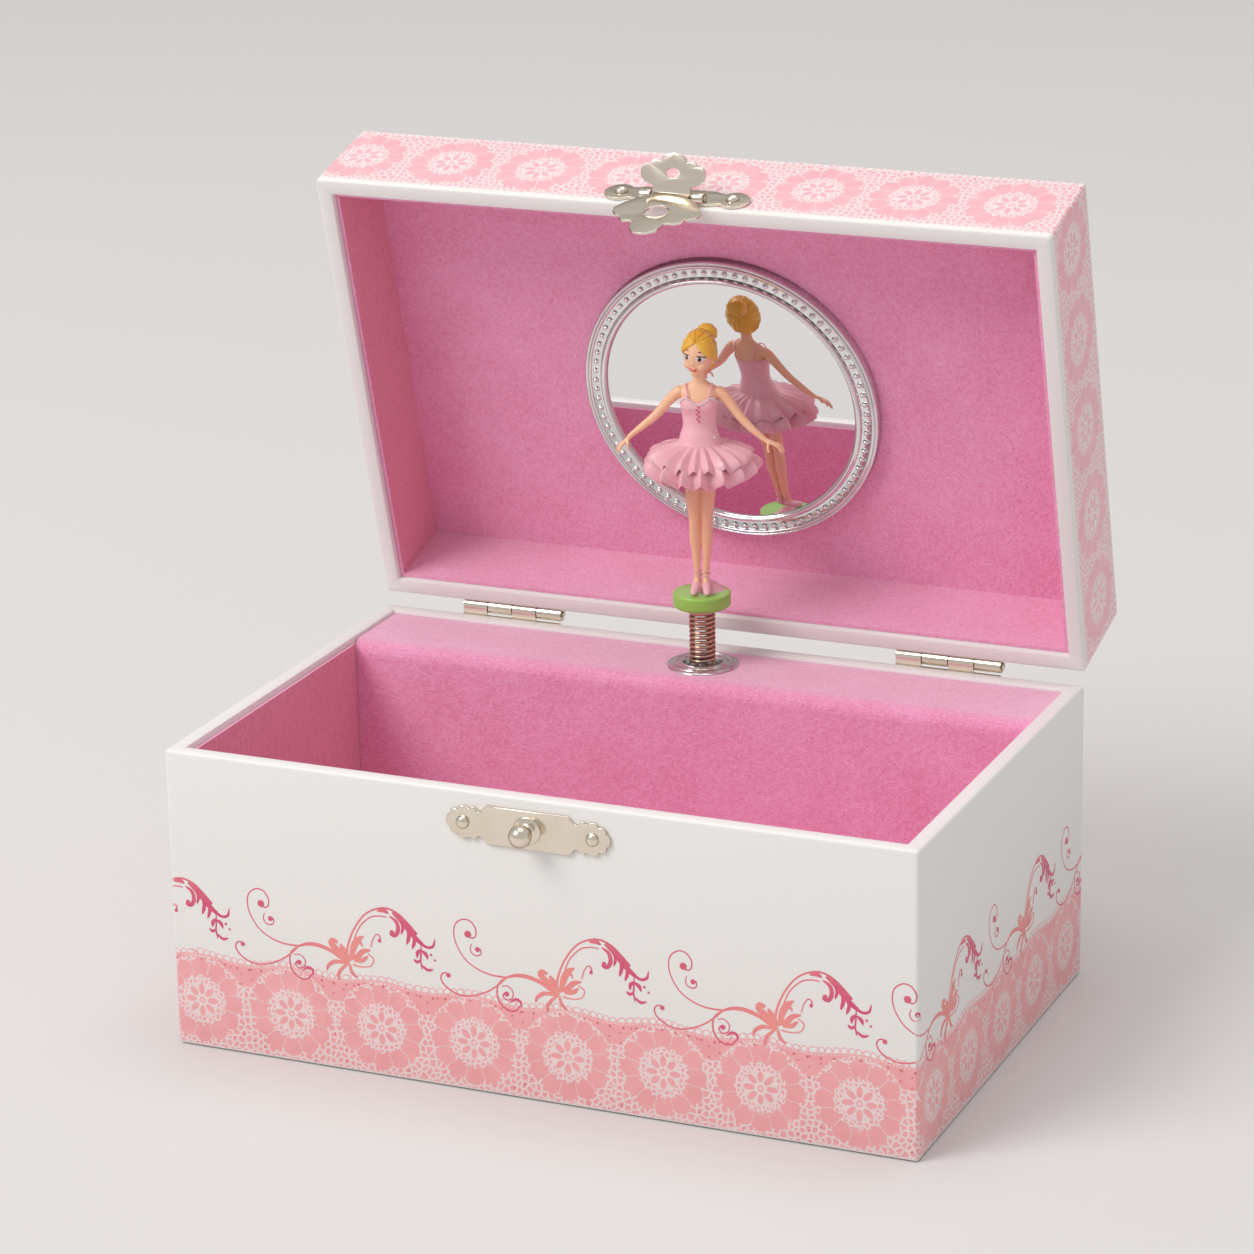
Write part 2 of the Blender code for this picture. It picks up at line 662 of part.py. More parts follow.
def make_latch():
    face_y = -HALF_D - FIT
    matrix = Matrix.Translation((0, face_y, LATCH_Z)) @ FACE_FRONT
    holes = [circle((0, 0), 1.1, 12)] + [circle((x, 0), 0.8, 6) for x in (-LATCH_SCREW_X, LATCH_SCREW_X)]
    plate("latch_plate", [mirrored(list(LATCH_EDGE))] + holes, METAL, matrix, NICKEL)
    front = face_y - METAL - 0.05
    ball_centre = 3.5
    ball = [
        (STUD_R * math.sin(math.radians(a)), ball_centre + STUD_R * math.cos(math.radians(a)))
        for a in range(0, 136, 27)
    ]
    profile = ball + [(1.3, 1.1), (2.2, 0.9), (2.65, 0.4), (2.65, 0.0), (0.9, 0.0), (0.9, -3.2), (0.0, -3.2)]
    turned("latch_stud", profile, (0, front, LATCH_Z), "-Y", NICKEL, segments=16)
    for x, side in ((-LATCH_SCREW_X, "left"), (LATCH_SCREW_X, "right")):
        dome_screw(f"latch_screw_{side}", (x, front, LATCH_Z), "-Y", 1.3, 0.9, 0.6, 3.0)


def make_clasp(lid):
    """The ear plate on the lid's front, whose rolled ends hold the pin that the butterfly swings on."""
    face_y = -HALF_D - FIT
    matrix = Matrix.Translation((0, face_y, CLASP_SCREW_Z)) @ FACE_FRONT
    holes = [circle((x, 0), 0.8, 6) for x in (-CLASP_SCREW_X, CLASP_SCREW_X)]
    ears = plate("clasp_plate", [mirrored(list(EAR_EDGE))] + holes, METAL, matrix, NICKEL, lid)
    for side in (-1, 1):
        xs = sorted((side * 4.3, side * 6.5))
        at = (xs[0], CLASP_PIN_Y, CLASP_PIN_Z)
        knuckle = rod(f"clasp_knuckle_{side}", at, "X", xs[1] - xs[0], CLASP_KNUCKLE_R, None, lid, 16)
        low = (xs[0] + 0.02, face_y - METAL + 0.02, CLASP_PIN_Z)
        high = (xs[1] - 0.02, face_y - 0.02, CLASP_PIN_Z + 2.0)
        join(ears, box(f"clasp_root_{side}", low, high, parent=lid), knuckle)
    bore_r = CLASP_PIN_R + 0.1
    cut(ears, rod("clasp_bore", (-8, CLASP_PIN_Y, CLASP_PIN_Z), "X", 16, bore_r, None, lid, 10))
    for x, side in ((-CLASP_SCREW_X, "left"), (CLASP_SCREW_X, "right")):
        head_at = (x, face_y - METAL - 0.05, CLASP_SCREW_Z)
        dome_screw(f"clasp_screw_{side}", head_at, "-Y", 1.3, 0.8, 0.6, 2.8, lid)


def make_butterfly(lid, hasp):
    """The hasp: two wings bent about a knuckle. The lower one drops over the stud; the upper is a tab."""
    pin_at = Matrix.Translation((0, CLASP_PIN_Y, CLASP_PIN_Z))
    back = Matrix.Translation((0, HASP_METAL - HASP_FRONT, 0))
    rod("hasp_pin", (-6.9, CLASP_PIN_Y, CLASP_PIN_Z), "X", 13.8, CLASP_PIN_R, NICKEL, lid, 10)
    lower = [(x, -y) for x, y in LOWER_WING]
    stud_hole = circle((0, LATCH_Z - CLASP_PIN_Z), HASP_HOLE_R, 20)
    hanging = pin_at @ back @ FACE_FRONT
    leaf = plate("hasp_leaf", [mirrored(lower), stud_hole], HASP_METAL, hanging, NICKEL, hasp)
    tilt = Matrix.Rotation(math.radians(HASP_BEND_DEG), 4, "X")
    slot = [(1.5 * math.cos(a), 4.4 + math.sin(a)) for a in (2 * math.pi * i / 14 for i in range(14))]
    raised = pin_at @ tilt @ back @ FACE_FRONT
    upper = plate("upper_wing", [mirrored(list(UPPER_WING)), slot], HASP_METAL, raised, None, hasp)
    knuckle = rod("hasp_knuckle", (-4.0, CLASP_PIN_Y, CLASP_PIN_Z), "X", 8.0, HASP_FRONT, None, hasp, 16)
    join(leaf, knuckle, upper)
    bore_r = CLASP_PIN_R + 0.1
    cut(leaf, rod("hasp_bore", (-8, CLASP_PIN_Y, CLASP_PIN_Z), "X", 16, bore_r, None, hasp, 10))


# ---------------------------------------------------------------- ballerina


def make_spring():
    """A close-wound coil whose wire is one tube."""
    low = SPRING_WIRE_R + 0.15
    rise = SPRING_TOP - 0.1 - SPRING_WIRE_R - low
    points = helix(SPRING_R, LEDGE_Z + low, rise, SPRING_TURNS, 8)
    curve_solid("figure_spring", points, SPRING_WIRE_R, (0, FIGURE_Y), COPPER)


def make_stand(figure):
    profile = [
        (0.0, DISC_HIGH),
        (DISC_R - 0.5, DISC_HIGH),
        (DISC_R, DISC_HIGH - 0.5),
        (DISC_R, DISC_LOW + 0.5),
        (DISC_R - 0.6, DISC_LOW),
        (3.4, DISC_LOW),
        (2.8, SPRING_TOP),
        (0.0, SPRING_TOP),
    ]
    turned("figure_stand", profile, (0, FIGURE_Y, LEDGE_Z), "Z", GREEN_PLASTIC, figure, segments=20)


def make_dancer(figure):
    """The doll as one moulding: a stick figure thickened by a Skin modifier, standing on closed feet."""
    bm = bmesh.new()
    joints = {}
    radii = []
    for name, root, point, radius in DANCER:
        joints[name] = bm.verts.new(point)
        radii.append(radius * MM)
        if root:
            bm.edges.new((joints[root], joints[name]))
    mesh = bpy.data.meshes.new("dancer")
    bmesh.ops.scale(bm, vec=(MM, MM, MM), verts=bm.verts)
    bm.to_mesh(mesh)
    bm.free()
    obj = bpy.data.objects.new("dancer", mesh)
    PARTS.objects.link(obj)
    mesh.materials.append(SKIN)
    skin = obj.modifiers.new("Skin", "SKIN")
    skin.use_smooth_shade = True
    for vertex, radius in zip(mesh.skin_vertices[0].data, radii):
        vertex.radius = (radius, radius)
    rounded = obj.modifiers.new("Subdivision", "SUBSURF")
    rounded.levels = 1
    rounded.render_levels = 1
    place(obj, Matrix.Translation((0, FIGURE_Y, LEDGE_Z)), figure)


def make_tutu(figure):
    hole = 3.3
    profile = [
        (hole, 46.0),
        (6.0, 45.9),
        (10.6, 45.3),
        (11.6, 43.6),
        (10.8, 40.6),
        (8.4, 38.4),
        (5.0, 40.0),
        (hole, 42.0),
    ]
    turned("tutu", profile, (0, FIGURE_Y, LEDGE_Z), "Z", PINK_PLASTIC, figure, segments=20, ring=True)


# ---------------------------------------------------------------- movement


def make_bedplate():
    """The back plate that carries every bearing of the movement, cast in one piece with its posts."""
    plate_y = BEDPLATE_Y
    reach = plate_y[0] + 0.3
    bed = box("movement_bedplate", (-5, plate_y[0], 11), (61, plate_y[1], 54), CAST_METAL)
    lug = box("comb_lug", (10, FIGURE_Y + 0.7, 12), (30, reach, 20.5))
    left_post = box("left_post", (POST_X[0], 33.8, 35), (POST_X[1], reach, 52))
    right_post = box("right_post", (31.2, 33.8, 35), (32.8, reach, 41))
    wheel_post = box("wheel_post", (11.4, 33.8, GOVERNOR_Z - 1.6), (12.8, reach, GOVERNOR_Z + 1.6))
    low_arm = box("low_arm", (POST_X[0] + 0.05, 29.6, 40.2), (9.6, 34.4, 41.6))
    high_arm = box("high_arm", (POST_X[0] + 0.05, 29.6, 50.2), (10.4, 34.4, 51.6))
    foot = box("spindle_foot", (-3, 33.4, 38.1), (1.5, reach, 40.1))
    guide = box("spindle_guide", (-3, 33.4, 49.5), (3, reach, 51.5))
    join(bed, lug, left_post, right_post, wheel_post, low_arm, high_arm, foot, guide)
    cut(bed, rod("arbor_bore", (POST_X[0] - 1, FIGURE_Y, CYLINDER_Z), "X", 30, 1.1))
    cut(bed, rod("wheel_bore", (POST_X[0] - 1, FIGURE_Y, GOVERNOR_Z), "X", 9, 0.8))
    cut(bed, rod("worm_bore", (WORM_X, WORM_Y, 39), "Z", 14, 0.6, segments=12))
    cut(bed, rod("spindle_bore", (0, FIGURE_Y, 37), "Z", 16, 1.1))
    cut(bed, rod("barrel_bore", (BARREL_X, 40, CYLINDER_Z), "Y", 6, 2.1))
    screws = [(x, FIGURE_Y, COMB_SCREW_Z) for x in COMB_SCREW_XS]
    cut(bed, rods("comb_tapped_holes", screws, "Y", 5, 0.9, segments=12))


def make_comb():
    """A steel plate with one tooth for each note, whose tips stop just short of the cylinder's pins."""
    left, right = CYLINDER_X
    pitch = (right - left) / NOTES
    tip = CYLINDER_Z - CYLINDER_R - 0.45
    root = 22.5
    outline = [(left, 12.5), (right, 12.5)]
    for note in reversed(range(NOTES)):
        x = left + note * pitch
        outline += [(x + pitch * 0.82, root), (x + pitch * 0.75, tip)]
        outline += [(x + pitch * 0.25, tip), (x + pitch * 0.18, root)]
    holes = [circle((x, COMB_SCREW_Z), 0.9, 12) for x in COMB_SCREW_XS]
    matrix = Matrix.Translation((0, FIGURE_Y + 0.5, 0)) @ FACE_FRONT
    plate("music_comb", [outline] + holes, 1.0, matrix, STEEL)
    for x, side in zip(COMB_SCREW_XS, ("left", "right")):
        dome_screw(f"comb_screw_{side}", (x, FIGURE_Y - 0.6, COMB_SCREW_Z), "-Y", 1.7, 0.9, 0.7, 4.6)


def make_cylinder():
    left, right = CYLINDER_X
    centre = (left, FIGURE_Y, CYLINDER_Z)
    length = right - left
    bore = 1.15
    profile = [(CYLINDER_R, length), (CYLINDER_R, 0.0), (bore, 0.0), (bore, length)]
    drum = turned("note_cylinder", profile, centre, "X", BRASS, segments=24, ring=True)
    pins = bmesh.new()
    for note in range(NOTES):
        turn = Matrix.Rotation(note * GOLDEN_ANGLE, 4, "Z")
        at = Matrix.Translation((CYLINDER_R, 0, (note + 0.5) * length / NOTES))
        bmesh.ops.create_cube(pins, size=1.0, matrix=turn @ at @ Matrix.Diagonal((0.5, 0.3, 0.3, 1)))
    pin_set = place(store("cylinder_pins", pins, None), Matrix.Translation(centre) @ TURN_TO["X"])
    join(drum, pin_set)
    arbor = rod("cylinder_arbor", (3.4, FIGURE_Y, CYLINDER_Z), "X", ARBOR_X_END - 3.4, 1.0, STEEL)
    pinion_r = BARREL_CROWN_R * ARBOR_TEETH / BARREL_TEETH
    outline = gear_outline(ARBOR_TEETH, pinion_r, 1.4, 0.36, phase=0.5)
    matrix = Matrix.Translation((ARBOR_X_END - 2.2, FIGURE_Y, CYLINDER_Z)) @ TURN_TO["X"]
    join(arbor, plate("arbor_pinion", [outline], 2.2, matrix))
    matrix = Matrix.Translation((SPUR_X, FIGURE_Y, CYLINDER_Z)) @ TURN_TO["X"]
    spur = gear_outline(WHEEL_TEETH, WHEEL_R, 0.8, 0.4)
    wheel = plate("cylinder_wheel", [spur, circle((0, 0), 1.6)], WHEEL_X[1] - SPUR_X, matrix, BRASS)
    disc = turned(
        "crown_disc",
        [(CROWN_R + 0.35, 1.3), (CROWN_R + 0.35, 0.0), (1.05, 0.0), (1.05, 1.3)],
        (WHEEL_X[0], FIGURE_Y, CYLINDER_Z),
        "X",
        ring=True,
    )
    teeth = crown_teeth(
        "crown_teeth",
        CROWN_TEETH,
        CROWN_R,
        1.6,
        CROWN_DEPTH + 0.3,
        0.31,
        (WHEEL_X[0] - CROWN_DEPTH, FIGURE_Y, CYLINDER_Z),
        "X",
    )
    join(wheel, disc, teeth)


def make_barrel():
    """The spring's drum, with crown teeth on its driving flange, and the spring coiled inside."""
    flange_y = 30.4
    root_y = FIGURE_Y - BARREL_CROWN_R * ARBOR_TEETH / BARREL_TEETH - 0.9
    bore = 2.1
    drum_r = 9.8
    inner_r = 9.0
    end_y = 41.6
    profile = [
        (drum_r, end_y),
        (drum_r, root_y),
        (BARREL_CROWN_R + 0.6, root_y),
        (BARREL_CROWN_R + 0.6, flange_y),
        (bore, flange_y),
        (bore, root_y),
        (inner_r, root_y),
        (inner_r, end_y - 0.8),
        (bore, end_y - 0.8),
        (bore, end_y),
    ]
    origin = (BARREL_X, 0, CYLINDER_Z)
    drum = turned("spring_barrel", profile, origin, "Y", BRASS, segments=24, ring=True)
    root = (BARREL_X, root_y - 0.3, CYLINDER_Z)
    teeth = crown_teeth("barrel_teeth", BARREL_TEETH, BARREL_CROWN_R, 1.8, 1.6, 0.36, root, "Y", 0.5)
    join(drum, teeth)
    make_mainspring(root_y + 0.4, end_y - 1.2, bore + 0.5, inner_r - 0.5)
    rod("winding_arbor", (BARREL_X, 29.2, CYLINDER_Z), "Y", 24.0, 1.8, STEEL)


def make_mainspring(low, high, inner, outer):
    bm = bmesh.new()
    turns = 4
    per_turn = 12
    rings = []
    for i in range(turns * per_turn + 1):
        angle = 2 * math.pi * i / per_turn
        radius = inner + (outer - inner) * i / (turns * per_turn)
        x = radius * math.cos(angle)
        z = radius * math.sin(angle)
        rings.append((bm.verts.new((x, low, z)), bm.verts.new((x, high, z))))
    for (a, b), (c, d) in zip(rings, rings[1:]):
        bm.faces.new((a, c, d, b))
    obj = place(store("mainspring", bm, STEEL), Matrix.Translation((BARREL_X, 0, CYLINDER_Z)))
    solid = obj.modifiers.new("Solidify", "SOLIDIFY")
    solid.thickness = 0.45 * MM
    solid.offset = 0.0


def make_key():
    """A butterfly key whose hub fits over the winding arbor behind the box."""
    hub_y = HALF_D + 0.8
    hub = [(2.0, 8.2), (2.9, 7.6), (3.1, 0.0), (2.0, 0.0), (2.0, 5.0), (0.0, 5.2)]
    hub = [(0.0, 8.2)] + hub
    key = turned("winding_key", hub, (BARREL_X, hub_y, CYLINDER_Z), "Y", NICKEL, segments=20)
    right = [(0.0, 0.0), (2.4, 0.0), (3.4, 1.8)] + arc((5.4, 4.6), 3.6, -100, 110, 8)
    right += [(2.0, 6.6), (0.0, 6.0)]
    bow_hole = arc((5.6, 4.6), 1.5, 0, 360, 12)[:-1]
    holes = [bow_hole, [(-x, y) for x, y in bow_hole]]
    turn = Matrix(((1, 0, 0, BARREL_X), (0, 1, 0, hub_y + 6.4), (0, 0, 1, CYLINDER_Z - 0.7), (0, 0, 0, 1)))
    join(key, plate("key_bow", [mirrored(right)] + holes, 1.4, turn))


def make_governor():
    """The governor's first wheel, and the worm that spins the air brake."""
    turn = TURN_TO["X"]
    arbor = rod("governor_wheel", (4.4, FIGURE_Y, GOVERNOR_Z), "X", 8.6, 0.7, BRASS, segments=12)
    pinion = gear_outline(GOVERNOR_PINION_TEETH, GOVERNOR_PINION_R, 0.8, 0.4, phase=0.5)
    small = plate("governor_pinion", [pinion], 1.4, Matrix.Translation((4.5, FIGURE_Y, GOVERNOR_Z)) @ turn)
    rim = gear_outline(WORM_WHEEL_TEETH, WORM_WHEEL_R, 0.9, 0.34)
    large = plate("worm_wheel", [rim], 0.8, Matrix.Translation((WORM_X - 0.4, FIGURE_Y, GOVERNOR_Z)) @ turn)
    join(arbor, small, large)
    make_fan()


def make_fan():
    """The worm stands half a lead off the wheel's tooth, so that the tooth sits between two turns."""
    lead = 2 * math.pi * WORM_WHEEL_R / WORM_WHEEL_TEETH
    turns = 3
    start = GOVERNOR_Z - (turns / 2 + 0.25) * lead
    fan = rod("governor_fan", (WORM_X, WORM_Y, 39.6), "Z", 17.4, 0.45, BRASS, segments=8)
    thread = curve_solid("worm_thread", helix(0.85, start, lead * turns, turns, 10), 0.42, (WORM_X, WORM_Y))
    vane = box("fan_vane", (WORM_X - 3.4, WORM_Y - 0.25, 52.4), (WORM_X + 3.4, WORM_Y + 0.25, 56.6))
    join(fan, thread, vane)


def make_spindle():
    """The upright shaft that carries the spring, driven by the cylinder's crown teeth."""
    shaft = rod("figure_spindle", (0, FIGURE_Y, 38.6), "Z", 23.6, 1.0, STEEL)
    pinion_r = CROWN_R * SPINDLE_TEETH / CROWN_TEETH
    outline = gear_outline(SPINDLE_TEETH, pinion_r, 1.3, 0.36, phase=0.5)
    matrix = Matrix.Translation((0, FIGURE_Y, CYLINDER_Z + CROWN_R - 0.8))
    pinion = plate("spindle_pinion", [outline], 1.6, matrix)
    collar = rod("spindle_collar", (0, FIGURE_Y, LEDGE_Z - 2.0), "Z", 1.9, 2.6, segments=20)
    join(shaft, pinion, collar)


clear_scene()
PARTS = collection("music_box")
CUTTERS = collection("cutters")
CARDBOARD = material("cardboard", (0.55, 0.42, 0.30), 0.85)
PRINTED_PAPER = material("printed_paper", (0.88, 0.84, 0.82), 0.45)
FLOCK = material("flock", (0.62, 0.12, 0.32), 0.95)
FELT_SHEET = material("felt", (0.75, 0.70, 0.68), 0.95)
NICKEL = material("nickel", (0.83, 0.77, 0.68), 0.2, 1.0)
SILVER = material("silver", (0.82, 0.82, 0.84), 0.15, 1.0)
COPPER = material("copper", (0.72, 0.45, 0.34), 0.25, 1.0)
BRASS = material("brass", (0.78, 0.60, 0.28), 0.3, 1.0)
STEEL = material("steel", (0.60, 0.60, 0.62), 0.3, 1.0)
CAST_METAL = material("cast_metal", (0.50, 0.50, 0.51), 0.5, 1.0)
MIRROR = material("mirror", (0.92, 0.93, 0.94), 0.02, 1.0)
SKIN = material("skin", (0.90, 0.50, 0.32), 0.4)
PINK_PLASTIC = material("pink_plastic", (0.87, 0.35, 0.40), 0.4)
GREEN_PLASTIC = material("green_plastic", (0.22, 0.50, 0.05), 0.35)

LID = pivot("lid_pivot", (0, HINGE_Y, HINGE_Z), -LID_OPEN_DEG)
HASP = pivot("hasp_pivot", (0, CLASP_PIN_Y, CLASP_PIN_Z))
HASP.parent = LID
HASP.matrix_parent_inverse = Matrix.Translation(-LID.location)
FIGURE = pivot("figure_pivot", (0, FIGURE_Y, LEDGE_Z))
FIGURE.rotation_euler.z = math.radians(FIGURE_YAW_DEG)

make_base()
make_ledge()
make_lid(LID)
make_mirror(LID)
make_hinges(LID)
make_latch()
make_clasp(LID)
make_butterfly(LID, HASP)
make_spring()
make_stand(FIGURE)
make_dancer(FIGURE)
make_tutu(FIGURE)
make_bedplate()
make_comb()
make_cylinder()
make_barrel()
make_key()
make_governor()
make_spindle()
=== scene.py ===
"""Looks for the wind-up music box: printed paper, flocked lining, mirror, catch, hinges, spring and dancer.

Every size is in millimetres and in the closed box's frame; the lid's pieces are turned open by LID.
"""

import math
from math import cos, exp, pi, radians, sin

import bmesh
import bpy
from mathutils import Matrix, Vector
from mathutils.bvhtree import BVHTree


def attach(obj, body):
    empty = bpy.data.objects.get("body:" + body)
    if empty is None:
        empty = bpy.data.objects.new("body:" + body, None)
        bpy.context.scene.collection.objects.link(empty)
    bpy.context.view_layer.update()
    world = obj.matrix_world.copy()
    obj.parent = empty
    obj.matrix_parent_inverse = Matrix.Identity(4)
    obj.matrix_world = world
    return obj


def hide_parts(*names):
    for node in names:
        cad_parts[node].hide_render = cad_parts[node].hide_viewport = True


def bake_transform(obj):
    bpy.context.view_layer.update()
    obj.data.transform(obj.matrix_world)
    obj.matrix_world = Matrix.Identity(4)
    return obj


MM = 0.001
TAU = 2 * pi

# ---- the box
HALF_W = 76.0
HALF_D = 48.0
FOOT_Z = 0.25
BASE_Z = 60.5
LID_RIM_Z = 60.8
LID_TOP_Z = 82.8
RIM = 3.3
TURN_IN = 8.0
PAPER = 0.3
CORNER_R = 0.8
CORNER_STEPS = 5
HINGE_Y = 49.55
HINGE_Z = 62.0
LID_OPEN_DEG = 75.0
KEY_X = 47.0
KEY_Z = 38.0
KEY_HOLE_R = 2.6
UNPRINTED_V = 70.0
BELOW_PRINT_V = -9.0

# ---- the figure; it stands on LEDGE_Z, and every other height here is above that
FIGURE_Y = 36.2
LEDGE_Z = 59.8
FIGURE_YAW_DEG = 17.0
SPRING_R = 2.3
SPRING_WIRE_R = 0.36
SPRING_TURNS = 11
SPRING_TOP = 11.5
DISC_R = 5.8
DISC_Z = (12.25, 15.3)
HEAD_RADII = (3.12, 3.4, 4.45)
SKIN_VOXEL = 0.14
HAIR_COLUMNS = 132
HAIR_ROWS = 40
BUN_RADII = (1.95, 1.95, 1.6)
DRESS_HEM_Z = 44.9
FLARE_Z = 47.0
LACE_SEAM_Z = 50.6
BUST_Z = 54.3
NECKLINE_Z = 54.75
DRESS_LIFT = 0.24

# ---- the mirror
MIRROR_Y = 3.8
REFLECTION_TILT_DEG = 4.5
FRAME_LEAN_DEG = -20.0
GLASS_R = 27.2
GLASS_Z = (78.6, 77.15)
BEADS = 84
BEAD_CIRCLE_R = 28.95
BEAD_R = 0.6
BEAD_Z = 77.0

# ---- the catch
LATCH_Z = 54.5
LATCH_THICK = 0.62
LATCH_SCREW_X = 13.1
CLASP_SCREW_X = 11.5
CLASP_SCREW_Z = 64.4
PLATE_FRONT_Y = -HALF_D - 0.75
DOME_R = 1.3
DOME_H = 0.95
STUD_BALL_R = 2.15
STUD_BALL_Z = 3.15
STUD_NECK_R = 1.2
# the lower right quarter of the plate's outline, from the panel's corner to the ear's tip
LATCH_EDGE = [
    (8.2, -3.8), (8.8, -3.2), (9.3, -2.6), (9.9, -2.4), (10.3, -2.7), (10.7, -3.1), (11.3, -3.2),
    (11.7, -2.8), (12.2, -3.0), (13.1, -3.25), (13.9, -3.0), (14.3, -2.45), (15.0, -2.5), (15.6, -2.1),
    (15.8, -1.3), (16.3, -1.0),
]
LATCH_TIP = (16.6, 0.0)

# ---- the printed lace; a pair of radii is where a part of the rosette starts and ends
ROSETTE_PITCH = 19.3
ROSETTE_U = 6.8
ROSETTE_DISC_R = 3.5
ROSETTE_RING = (3.4, 5.1)
ROSETTE_RAYS = (5.4, 8.3)
PETAL_R = 7.5
PETAL_SWELL = 1.15
ROSETTE_ARC_R = 9.1
RING_CELL = 0.95
NET_CELL = 1.3
THREAD_HALF = 0.2
NET_FOOT = 4.2
BAND_CENTRE = 10.0
BAND_TOP = 19.2
LID_PRINT_CENTRE = 11.0
LID_PRINT_TOP = 21.2
SCROLL_PITCH = 43.5
SCROLL_START = -57.5

# ---- camera and light, in metres
CAMERA_PLACE = (0.32327, -0.73982, 0.34471)
CAMERA_RIGHT = (0.91832, 0.39543, -0.01804)
CAMERA_FORWARD = (-0.38083, 0.87013, -0.31279)
LENS_MM = 127.5
WORLD_STRENGTH = 0.57
# name, place, disc diameter, watts, colour
LIGHTS = (
    ("key_light", (-1.35, -1.65, 2.2), 1.6, 44.0, (1.0, 0.985, 0.97)),
    ("top_light", (0.1, 0.2, 1.9), 1.4, 8.8, (1, 1, 1)),
)
LIGHT_TARGET = (0.0, 0.0, 0.08)
FLOOR_HALF = 6.0

HINGE = Matrix.Translation((0, HINGE_Y, HINGE_Z))
LID = HINGE @ Matrix.Rotation(radians(-LID_OPEN_DEG), 4, "X") @ HINGE.inverted()
FIGURE = Matrix.Translation((0, FIGURE_Y, LEDGE_Z)) @ Matrix.Rotation(radians(FIGURE_YAW_DEG), 4, "Z")

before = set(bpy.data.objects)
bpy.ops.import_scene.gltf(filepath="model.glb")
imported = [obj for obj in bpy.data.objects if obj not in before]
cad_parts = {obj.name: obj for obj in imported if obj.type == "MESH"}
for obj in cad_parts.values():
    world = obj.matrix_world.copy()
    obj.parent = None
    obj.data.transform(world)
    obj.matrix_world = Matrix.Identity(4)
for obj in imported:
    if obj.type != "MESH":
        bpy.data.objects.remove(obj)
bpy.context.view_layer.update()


def linked(name, data):
    obj = bpy.data.objects.new(name, data)
    bpy.context.scene.collection.objects.link(obj)
    return obj


def make_camera():
    right = Vector(CAMERA_RIGHT).normalized()
    forward = Vector(CAMERA_FORWARD).normalized()
    up = right.cross(forward).normalized()
    right = forward.cross(up).normalized()
    data = bpy.data.cameras.new("camera")
    data.lens = LENS_MM
    data.sensor_width = 36.0
    data.clip_end = 20.0
    camera = linked("camera", data)
    turn = Matrix((right, up, -forward)).transposed().to_4x4()
    camera.matrix_world = Matrix.Translation(CAMERA_PLACE) @ turn
    bpy.context.scene.camera = camera


make_camera()


# ---- node arithmetic


def operation(kind):
    """A method that adds one arithmetic node."""
    return lambda value, *others: value.op(kind, *others)


class Value:
    """A number in a material's node tree, combined with ordinary arithmetic."""

    def __init__(self, tree, socket):
        self.tree = tree
        self.socket = socket

    def op(self, kind, *others, clamp=False):
        node = self.tree.nodes.new("ShaderNodeMath")
        node.operation = kind
        node.use_clamp = clamp
        for i, value in enumerate((self,) + others):
            if isinstance(value, Value):
                self.tree.links.new(value.socket, node.inputs[i])
            else:
                node.inputs[i].default_value = value
        return Value(self.tree, node.outputs[0])

    __add__ = __radd__ = operation("ADD")
    __sub__ = operation("SUBTRACT")
    __mul__ = operation("MULTIPLY")
    __truediv__ = operation("DIVIDE")
    __abs__ = operation("ABSOLUTE")
    low = operation("MINIMUM")
    high = operation("MAXIMUM")
    cos = operation("COSINE")
    sin = operation("SINE")

    def __neg__(self):
        return self * -1.0

    def __rsub__(self, other):
        return -self + other

    def clamped(self):
        return self.op("ADD", 0.0, clamp=True)

    def wrap(self, period):
        """The distance from the nearest multiple of period, from -period/2 to period/2."""
        return self.op("WRAP", period / 2, -period / 2)

    def hypot(self, other):
        return (self * self + other * other).op("SQRT")

    def fill(self, edge=0.14):
        """1 where this distance is below zero, 0 above it, with a soft edge."""
        return self.op("MULTIPLY_ADD", -1.0 / edge, 0.5, clamp=True)


def add_node(tree, kind, **settings):
    """A shader node. Each setting is an input's name."""
    node = tree.nodes.new("ShaderNode" + kind)
    for name, value in settings.items():
        node.inputs[name].default_value = value
    return node


def new_material(name, colour, roughness, **settings):
    """A material, its tree and its shader. Each setting is an input's name, with _ for a space."""
    material = bpy.data.materials.new(name)
    material.use_nodes = True
    material.diffuse_color = (*colour, 1)
    tree = material.node_tree
    shader = tree.nodes["Principled BSDF"]
    shader.inputs["Base Color"].default_value = (*colour, 1)
    shader.inputs["Roughness"].default_value = roughness
    for setting, value in settings.items():
        shader.inputs[setting.replace("_", " ")].default_value = value
    return material, tree, shader


def noise(tree, scale, detail=3.0):
    """Noise with features about 1/scale metres across."""
    place = add_node(tree, "TexCoord").outputs["Object"]
    node = add_node(tree, "TexNoise", Scale=scale, Detail=detail)
    tree.links.new(place, node.inputs["Vector"])
    return Value(tree, node.outputs["Fac"])


def components(tree, socket):
    split = add_node(tree, "SeparateXYZ")
    tree.links.new(socket, split.inputs[0])
    return Value(tree, split.outputs[0]), Value(tree, split.outputs[1])


def mix(tree, factor, first, second):
    """A colour between two colours. Each is a tuple or a socket."""
    node = add_node(tree, "Mix")
    node.data_type = "RGBA"
    tree.links.new(factor.socket, node.inputs["Factor"])
    for name, value in (("A", first), ("B", second)):
        socket = next(s for s in node.inputs if s.name == name and s.type == "RGBA")
        if isinstance(value, tuple):
            socket.default_value = (*value, 1)
        else:
            tree.links.new(value, socket)
    return next(s for s in node.outputs if s.type == "RGBA")


def paint(tree, shader, colour):
    tree.links.new(colour, shader.inputs["Base Color"])


